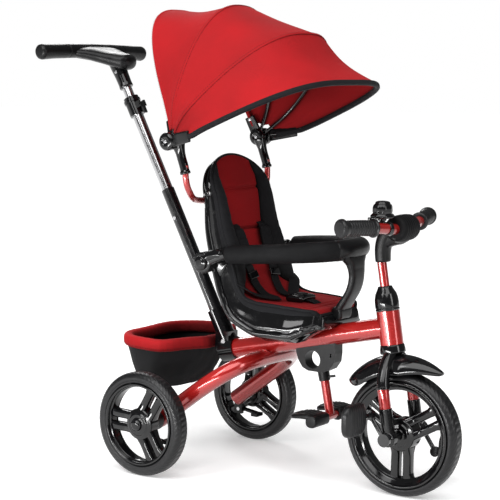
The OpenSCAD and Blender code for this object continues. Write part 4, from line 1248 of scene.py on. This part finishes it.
def build_steering():
    """Handlebar, grips, bell, stem, head cap and fork."""
    y = np.linspace(-164, 164, 120)
    bar = tube("handlebar_tube", bar_point(y), 11, "red_paint", "steering", sides=32, count=100,
               curve=False)
    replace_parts(bar, "handlebar")

    def grip(name, side):
        y = side * np.linspace(86, 172, 200)
        p, cut, share = stations(bar_point(y), 5, 110)
        marks = [0, 0.03, 0.055, 0.07, 0.80, 0.86, 0.9, 1]
        r = np.interp(share, marks, [18.2, 18.6, 18.4, 15.2, 14.6, 16.2, 18.6, 18.2])
        ribs = 0.55 * np.sin(share * 2 * math.pi * 15) * ((share > 0.1) & (share < 0.8))
        r = r + ribs - cut
        prof = circle(32, 1)[None] * np.maximum(r, 0.05)[:, None, None]
        return sweep(f"hand_grip_{name}", p, prof, "tyre_black", "steering", angle=60)

    grips = both(grip)
    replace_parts(grips[0], "handlebar_grips")
    line = [(486, -30, 533), (486.5, -15, 533.5), (487, 0, 533.5), (486.5, 15, 533.5), (486, 30, 533)]
    thick = lambda x: 24.6 + 1.6 * math.sin(math.pi * x) + 0.3 * math.sin(x * 60)
    pad = tube("bar_pad", line, thick, "black_foam", "steering", sides=44, fillet=6, count=50)
    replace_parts(pad, "handlebar_pad")
    bell = bar_point(np.array([-51.0]))[0] + [-13, 0, 0]
    domes = [(0, 20.5), (21.5, 20.5), (23.4, 22.5), (23, 26), (20.4, 28.6), (19, 28.8), (18.6, 31),
             (19.4, 33),
             (19.2, 41), (17.4, 46.4), (15, 48), (14.6, 49.6), (13.2, 52.2), (8, 53.6), (0, 54)]
    dome = turned("bell_dome", rounded_profile(domes, 1.4, 3), bell, (0, 0, 1), "gloss_black", "steering",
                  sides=96, lobes=(8, 0.03))
    stalk = rounded_profile([(0, 6), (7.5, 6), (7.5, 13), (5, 14), (5, 21.5), (0, 21.5)], 1)
    turned("bell_stalk", stalk, bell, (0, 0, 1), "gloss_black", "steering", sides=32)
    band = bar_point(np.array([-55.4, -53, -51, -49, -46.6]))
    tube("bell_band", band, 13.7, "gloss_black", "steering", sides=32, fillet=1.2, count=14, curve=False)
    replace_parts(dome, "bell")
    # head cap, with a groove where its two parts meet
    cap = [(9.6, 246.6), (23.6, 246.6), (24.2, 248.2), (24.2, 250.2), (23, 250.9), (23, 251.7),
           (24.1, 252.4),
           (24.2, 262), (23.4, 271), (21.2, 280), (17, 287.4), (14.8, 291.6), (14.4, 294), (12.4, 295),
           (9.6, 295)]
    cover = turned("head_cap_cover", rounded_profile(cap, 1.0, 3), FRONT_AXLE, HEAD_AXIS,
                   "gloss_black", "steering", sides=72)
    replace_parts(cover, "head_cap")
    line = [(444.5, 0, 463), (443.5, 0, 476), (443.8, 0, 492), (448, 0, 508), (458, 0, 522), (470, 0, 530)]
    stem = tube("stem_cover", line, lambda x: 14.2 + 3.0 * x, "matt_black", "steering",
                ref=(0, 1, 0), sides=36, fillet=3, count=40, flat=1.12, power=2.3)
    line = [(486, -28, 520), (484, -14, 515), (483, 0, 513), (484, 14, 515), (486, 28, 520)]
    tube("stem_saddle", line, lambda x: 12.5 - 2.5 * abs(2 * x - 1), "matt_black", "steering",
         sides=28, fillet=5, flat=0.9, power=2.4, count=30)
    line = [(446, 0, 500), (458, 0, 508), (472, 0, 514), (484, 0, 518)]
    tube("stem_web", line, lambda x: 14 + 4 * x, "matt_black", "steering",
         sides=28, fillet=4, flat=0.95, power=2.6, count=24)
    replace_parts(stem, "stem_clamp")
    # fork legs
    dense = smooth([(474, 12, 283), (475.5, 26, 272), (478, 40, 256), (480.6, 49, 240), (483.6, 54, 224),
                    (487, FORK_Y, 206), (491, FORK_Y, 183), (496, FORK_Y, 154), (500.5, FORK_Y, 128)], 300)

    def fork(name, side):
        p = dense * [1, side, 1]
        z = p[:, 2]

        def sleeve(part, keep, radius, slot, fillet, count):
            return tube(f"fork_{part}_{name}", p[keep], radius, slot, "steering",
                        ref=(1, 0, 0), sides=32, fillet=fillet, count=count, curve=False)

        upper = sleeve("upper", z > 223, 12.6, "gloss_black", 1.2, 50)
        red = sleeve("leg", (z < 224.5) & (z > 180), 11.6, "red_paint", 0.4, 20)
        sleeve("band", (z < 225.5) & (z > 219.5), 13.4, "gloss_black", 1.2, 8)
        low = sleeve("lower", z < 184, 13.2, "gloss_black", 1.6, 40)
        boss = [(0, 13.4), (8, 13.4), (11, 12), (14.6, 11), (16, 8), (16, -8), (14, -11.5), (0, -11.5)]
        turned(f"fork_boss_{name}", rounded_profile(boss, 1.6, 4), (FRONT_X, side * FORK_Y, FRONT_R),
               (0, side, 0), "gloss_black", "steering", sides=48)
        return upper, red, low

    upper, red, low = both(fork)[0]
    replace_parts(upper, "fork_crown")
    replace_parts(low, "fork_leg_covers")
    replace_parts(red, "fork_tubes")
    line = FRONT_AXLE + np.outer([161, 368], HEAD_AXIS)
    tube("steering_stem", line, 9.5, "red_paint", "steering",
         ref=(0, 1, 0), sides=32, fillet=0.5, count=12, curve=False)
    collar = [(9.6, 160.8), (24, 160.8), (26, 163), (25.6, 170), (24.4, 177), (23.4, 178.6), (9.6, 178.6)]
    turned("fork_collar", rounded_profile(collar, 1.2, 3), FRONT_AXLE, HEAD_AXIS, "gloss_black", "steering")
    build_fender()


def fender_width(u):
    """Half width of the mudguard, for a share of its length from the front."""
    front = 5 + 32.5 * np.clip(u / 0.36, 0, 1) ** 0.7
    back = 7 + 30.5 * np.sqrt(np.maximum(0, 1 - (np.clip((u - 0.8) / 0.2001, 0, 1)) ** 2))
    return np.where(u < 0.36, front, np.where(u > 0.8, back, 37.5))


def build_fender():
    """Mudguard with a raised rib along its middle."""
    u = np.linspace(0, 1, 90)
    f = np.radians(np.linspace(-90, 90, 41))
    grids = []
    for inset in (0.0, 2.4):
        w = fender_width(u)[:, None]
        a = np.radians(57 + 86 * u)[:, None]
        rib = 0.9 * np.exp(-((f[None] / 0.16) ** 2)) * (1 if inset == 0 else 0)
        r = 158.5 - inset - 0.9 * w * (1 - np.cos(f))[None] + rib
        grid = (FRONT_X + r * np.cos(a), (w - inset) * np.sin(f)[None], FRONT_R + r * np.sin(a))
        grids.append(np.stack(np.broadcast_arrays(*grid), -1))
    obj = slab("mudguard", grids[0], grids[1], "gloss_black", "steering", angle=50)
    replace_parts(obj, "fender")


# ---------------------------------------------------------------- frame


def build_frame():
    """Horseshoe tube, canopy tube and arms, and the canopy's hoop wires."""
    # horseshoe tube, in a plane that slopes up forwards
    plane_a = math.radians(36.9)
    half = []
    for i in range(25):
        t = math.radians(90 * i / 24)
        half.append((70 + 159 * math.sin(t) ** (2 / 3.4), 138 * math.cos(t) ** (2 / 3.4)))
    side = [(-2, 138), (20, 138), (45, 138)] + half
    full = side + [(a, -b) for a, b in side[:-1][::-1]]
    path = [(-5 + a * math.cos(plane_a), b, 104 + a * math.sin(plane_a)) for a, b in full]
    ref = (-math.sin(plane_a), 0, math.cos(plane_a))
    obj = tube("axle_horseshoe", path, 17.5, "red_paint", "frame", ref=ref, sides=40, fillet=2.5, count=170)
    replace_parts(obj, "rear_axle_tube")
    post = [(62, HUB_Y[0], 640), (63.5, HUB_Y[0], 612), (65, 141, 596), (65, 132, 583), (61, 118, 573),
            (57, 104, 568), (55, 85, 565), (55, 40, 565)]
    path = post + mirrored(post[::-1], -1)
    obj = tube("canopy_tube", path, 6.6, "red_paint", "frame", ref=(-1, 0, 0.2), fillet=1, count=150)
    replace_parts(obj, "canopy_post")

    def arm(name, side):
        line = [(42, 684), (47, 670), (53, 652), (59, 636), (62.5, 622)]
        path = [(x, side * HUB_Y[0], z) for x, z in line]
        thick = lambda x: 9.0 + 4.5 * math.exp(-((x / 0.22) ** 2)) + 1.4 * (x > 0.9)
        return tube(f"canopy_arm_{name}", path, thick, "gloss_black", "frame",
                    ref=(0, 1, 0), sides=28, fillet=2, count=36, flat=0.92, power=2.5)

    arms = both(arm)
    tube("canopy_rear_hoop", hoop_path(0), HOOP_WIRE, "black_paint", "frame",
         ref=(math.cos(math.radians(-22)), 0, 0.37), sides=14, count=150, curve=False)
    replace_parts(arms[0], "canopy_arms")
    wires = (("canopy_middle_hoop", "canopy_middle"), ("canopy_front_rib", "canopy_front"),
             ("canopy_front_hoop", "canopy_peak"))
    for k, (node, body) in enumerate(wires, 1):
        lean = math.radians(LEAN[k])
        hoop = tube(node + "_wire", hoop_path(k), HOOP_WIRE, "black_paint", body,
                    ref=(math.cos(lean), 0, -math.sin(lean)), sides=14, count=150, curve=False)
        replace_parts(hoop, node)
        for name, side in (("left", 1), ("right", -1)):
            eye = rounded_profile([(4.1, -3.4), (11, -3.4), (12, -2), (12, 2), (11, 3.4), (4.1, 3.4)], 0.8)
            turned(f"{node}_eye_{name}", eye, (HUB[0], side * HUB_Y[k], HUB[2]), (0, side, 0),
                   "black_paint", body, sides=32)


def build_footrest():
    """Ribbed pads and their sleeves."""
    ring = circle(72, 33, 29, 3.0)
    # outline's scale and height, from the middle of the underside over the edge to the middle of the top
    rise = [(0.04, 139.6), (0.5, 139.2), (0.84, 139.4), (0.95, 140.6), (1, 143), (1, 145.4), (0.96, 148)]
    rise += [(0.88, 149.4)] + [(v, 149.8) for v in np.linspace(0.82, 0.03, 16)]

    def plate(name, side):
        rings = []
        for k, (scale, z) in enumerate(rise):
            p = np.stack([307 + ring[:, 0] * scale, side * (48.5 + ring[:, 1] * scale), np.full(72, z)], -1)
            if k > 7:
                p[:, 2] += 0.9 * (np.sin(p[:, 0] * 0.72) > 0.1)
            p[:, 2] -= 0.0045 * (p[:, 0] - 312) ** 2 * (p[:, 0] < 312)
            rings.append(p)
        obj = skin(f"footrest_pad_{name}", np.array(rings), "matt_black", "footrest", angle=35)
        sleeve = [(330, side * v, 136) for v in (20.5, 34, 48, 62, 75.5)]
        tube(f"footrest_sleeve_{name}", sleeve, 12.6, "matt_black", "footrest", sides=32, fillet=3,
             count=24, power=2.6)
        return obj

    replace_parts(both(plate)[0], "footrest_plates")


# ---------------------------------------------------------------- wheels


def tyre(name, x, y, r, seat, w, body, node):
    """Tyre with a rounded crown, a raised sidewall ring and moulded tread."""
    half = w / 2
    prof = [(seat, 3 - half), (seat + 1.5, 0.6 - half), (seat + 4, -half - 0.1), (seat + 6.5, 0.8 - half)]
    prof = rounded_profile(prof + [(r - w * 0.33, 0.2 - half)], 1.4, 3).tolist()
    crown = w * 0.34
    for a in np.linspace(6, 90, 13):
        k = math.radians(a)
        prof.append((r - crown + crown * math.sin(k), -w / 2 + crown * (1 - math.cos(k))))
    right = np.array(prof + [(p[0], -p[1]) for p in prof[::-1]])
    n = 360
    t = np.arange(n) * 2 * math.pi / n
    rr = np.broadcast_to(right[:, :1], (len(right), n)).copy()
    yy = np.broadcast_to(right[:, 1:], (len(right), n))
    height = (right[:, 0] - (r - crown * 0.8)) / (crown * 0.8)
    zone = np.clip(height, 0, 1)[:, None] * (np.abs(right[:, 1:]) > w * 0.10)
    skew = np.sign(right[:, 1:]) * right[:, 1:] * 0.02
    groove = (np.sin(60 * (t[None] + skew)) > 0.55) * 0.9
    rr = rr - groove * (zone > 0.12) * np.minimum(zone * 3, 1)
    centre = np.abs(np.abs(right[:, 1:]) - w * 0.07) < w * 0.03
    rr = rr - 0.7 * centre
    rings = np.stack([x + rr * np.cos(t), y + yy, r + rr * np.sin(t)], -1)
    m = len(right)
    faces = grid_faces(m, n, wrap_m=True, wrap_n=True)
    obj = make(name, rings.reshape(-1, 3), faces, "tyre_black", body, angle=38)
    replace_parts(obj, node)
    return obj


def ring_of(name, prof, x, y, r, count, **kw):
    """A closed (radius, across) profile turned about a wheel's axle."""
    t = np.arange(count) * 2 * math.pi / count
    y = np.broadcast_to(y + prof[:, 1:], (len(prof), count))
    rings = np.stack([x + prof[:, :1] * np.cos(t), y, r + prof[:, :1] * np.sin(t)], -1)
    faces = grid_faces(len(prof), count, wrap_m=True, wrap_n=True)
    return make(name, rings.reshape(-1, 3), faces, "gloss_black", angle=35, **kw)


def rim(name, x, y, r, seat, w, well, hub, first, body, node):
    """Moulded wheel: dished barrel with a rolled lip, a hub and three double spokes."""
    half = w / 2
    side = [(well - 1, 0), (well - 1, -w / 4), (well + 4, -w / 4 - 1.5), (seat - 7, 2.6 - half),
            (seat - 5, -half - 0.6), (seat - 1.2, -half - 0.8), (seat - 0.6, 2.5 - half)]
    prof = rounded_profile(side, 1.1, 3)
    prof = np.vstack([prof, (prof * [1, -1])[::-1]])
    parts = [ring_of(name, prof, x, y, r, 144, body=body)]
    steps = [(6.2, hub), (12, hub), (14, hub - 2), (22, hub - 2.5), (24, hub - 5), (31, hub - 6.5),
             (33, hub - 9), (33, 0)]
    prof = rounded_profile(steps, 1.6, 4)
    prof = np.vstack([prof, (prof * [1, -1])[::-1][1:]])
    parts.append(ring_of(name + "_hub", prof, x, y, r, 144, body=body))
    for k in range(3):
        a = math.radians(first + 120 * k)
        out = np.array([math.cos(a), 0, math.sin(a)])
        off = np.array([-math.sin(a), 0, math.cos(a)])
        for sgn in (-1, 1):
            d = np.linspace(25, well + 3, 30)
            spread_out = sgn * np.interp(d, [25, 40, well - 12, well + 3], [13.0, 13.4, 13.8, 16])
            path = np.array([x, y, r]) + out * d[:, None] + off * spread_out[:, None]
            wide = np.interp(d, [25, 36, well - 14, well + 3], [10, 9, 9, 12])
            deep = np.interp(d, [25, 40, well - 8, well + 3], [hub - 6, 11, 10.5, 9.5])
            profile = circle(24, 1, 1, 3.4)[None] * np.stack([wide, deep], -1)[:, None]
            spoke = sweep(f"{name}_spoke", path, profile, "gloss_black", body, ref=(0, 1, 0), angle=50)
            parts.append(spoke)
    obj = merge(name, parts)
    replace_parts(obj, node)
    return obj


CRANK_ARM, CRANK_TURN = 57, 126  # length, and the right arm's angle from forward in degrees


def build_wheels():
    """Tyres, rims, caps and pedals."""
    # centre x and y, outer radius, radius of the rim's seat and width
    size = (FRONT_X, FRONT_Y, FRONT_R, 108, FRONT_W)
    tyre("front_tyre_rubber", *size, "front_wheel", "front_tyre")
    rim("front_wheel_rim", *size, 90, 24, 30, "front_wheel", "front_rim")
    for name, side, first in (("left", 1, 90), ("right", -1, 60)):
        size = (0, side * REAR_Y, REAR_R, 86, REAR_W)
        tyre(f"rear_tyre_rubber_{name}", *size, f"{name}_wheel", f"rear_tyre_{name}")
        rim(f"rear_wheel_rim_{name}", *size, 78, 20, first, f"{name}_wheel", f"rear_rim_{name}")
        cap = rounded_profile([(0, 8), (6, 8), (9, 6.8), (12, 4), (13, 0), (13, -2), (0, -2)], 1.6, 4)
        turned(f"wheel_cap_{name}", cap, (0, side * 220.6, REAR_R), (0, side, 0),
               "gloss_black", f"{name}_wheel", sides=48)
    for name, side in (("left", 1), ("right", -1)):
        a = math.radians(CRANK_TURN)
        ex, ez = FRONT_X - side * CRANK_ARM * math.cos(a), FRONT_R - side * CRANK_ARM * math.sin(a)
        path = [(ex, side * y, ez) for y in (97, 115, 134, 153, 171)]
        share = np.linspace(0, 1, 70)
        p = smooth(path, 70)
        near = np.minimum(share, 1 - share) * 74
        cut = np.where(near < 19, 19 - np.sqrt(np.maximum(19**2 - (19 - near) ** 2, 0)), 0)
        ribs = 0.55 * (np.sin(share * 2 * math.pi * 11) > 0.1) * (near > 12)
        # a profile point is (along x, up)
        half = np.stack([np.maximum(10.4 + ribs - cut * 0.35, 1), np.maximum(31.5 - cut, 1)], -1)
        prof = circle(36, 1, 1, 3.4)[None] * half[:, None]
        obj = sweep(f"pedal_block_{name}", p, prof, "tyre_black", f"{name}_pedal", angle=40)
        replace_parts(obj, f"pedal_{name}")


# ---------------------------------------------------------------- push handle


def build_handle():
    """Push handle with its bar, grips, bow and neck."""
    hx, hz = -309, 865.5  # middle of the bar

    def bow(y):
        bend = (np.abs(y) / 166) ** 2
        return np.stack([hx + 5 * (1 - bend) - 2.5, y, hz - 4 * bend + 2], -1)

    y = np.linspace(-88, 88, 90)
    tube("handle_bar", bow(y), 15.4, "matt_black", "push_handle", sides=36, fillet=2, count=60, curve=False)

    def grip(name, side):
        yy = side * np.linspace(84, 172, 160)
        p, cut, share = stations(bow(yy), 8, 80)
        r = np.interp(share, [0, 0.03, 0.06, 0.5, 0.9, 1], [15.6, 16.2, 15.6, 15.5, 16.6, 16.4])
        r = r + 0.12 * np.sin(share * 2 * math.pi * 18)
        prof = circle(32, 1)[None] * np.maximum(r - cut, 0.05)[:, None, None]
        return sweep(f"handle_grip_{name}", p, prof, "matt_black", "push_handle", angle=60)

    grips = both(grip)
    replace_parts(grips[0], "handle_grip")
    # body that narrows from the bar to a nose over the neck
    share = np.linspace(0, 1, 60)
    x = np.interp(share, [0, 1], [hx - 8, -197])
    z = np.interp(share, [0, 0.3, 0.7, 1], [865, 860, 848, 842])
    wide = np.interp(share, [0, 0.1, 0.25, 0.5, 0.75, 0.9, 0.97, 1], [80, 82, 72, 50, 33, 26, 17, 4])
    thick = np.interp(share, [0, 0.06, 0.2, 0.6, 0.9, 0.97, 1], [12, 15, 15, 16, 17, 12, 3])
    path = np.stack([x, np.zeros(60), z], -1)
    ring = circle(64, 1, 1, 2.5)
    prof = ring[None] * np.stack([wide, thick], -1)[:, None]
    # a long sunk oval in the top, as on a moulded bow
    yy = prof[..., 0]
    top = prof[..., 1] > 0
    dish = 2.6 * np.exp(-(((share[:, None] - 0.42) / 0.2) ** 4)) * np.exp(-((yy / 30) ** 4))
    prof = np.stack([yy, np.where(top, prof[..., 1] - dish, prof[..., 1])], -1)
    body = sweep("handle_bow", path, prof, "matt_black", "push_handle", angle=50)
    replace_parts(body, "handle_body")
    neck = [(10.4, 546.4), (14.6, 546.4), (15.4, 549), (14.6, 556), (15.2, 575), (17, 596), (18, 614),
            (10.4, 614)]
    turned("handle_neck", rounded_profile(neck, 1.6, 4), PUSH_BAR_FOOT, PUSH_BAR_AXIS,
           "gloss_black", "push_handle", sides=56)
    screw = rounded_profile([(0, 1.2), (3.2, 1.2), (3.8, 0.3), (3.8, -3), (0, -3)], 0.5)
    place = np.array(PUSH_BAR_FOOT) + np.array(PUSH_BAR_AXIS) * 585 + [0, -16.2, 0]
    turned("handle_screw", screw, place, (0, -1, 0), "plain_steel", "push_handle", sides=24)


# ---------------------------------------------------------------- build

set_camera()
set_studio()
paint_cad()
build_canopy()
build_seat()
build_harness()
build_basket()
build_guard()
build_steering()
build_frame()
build_footrest()
build_wheels()
build_handle()
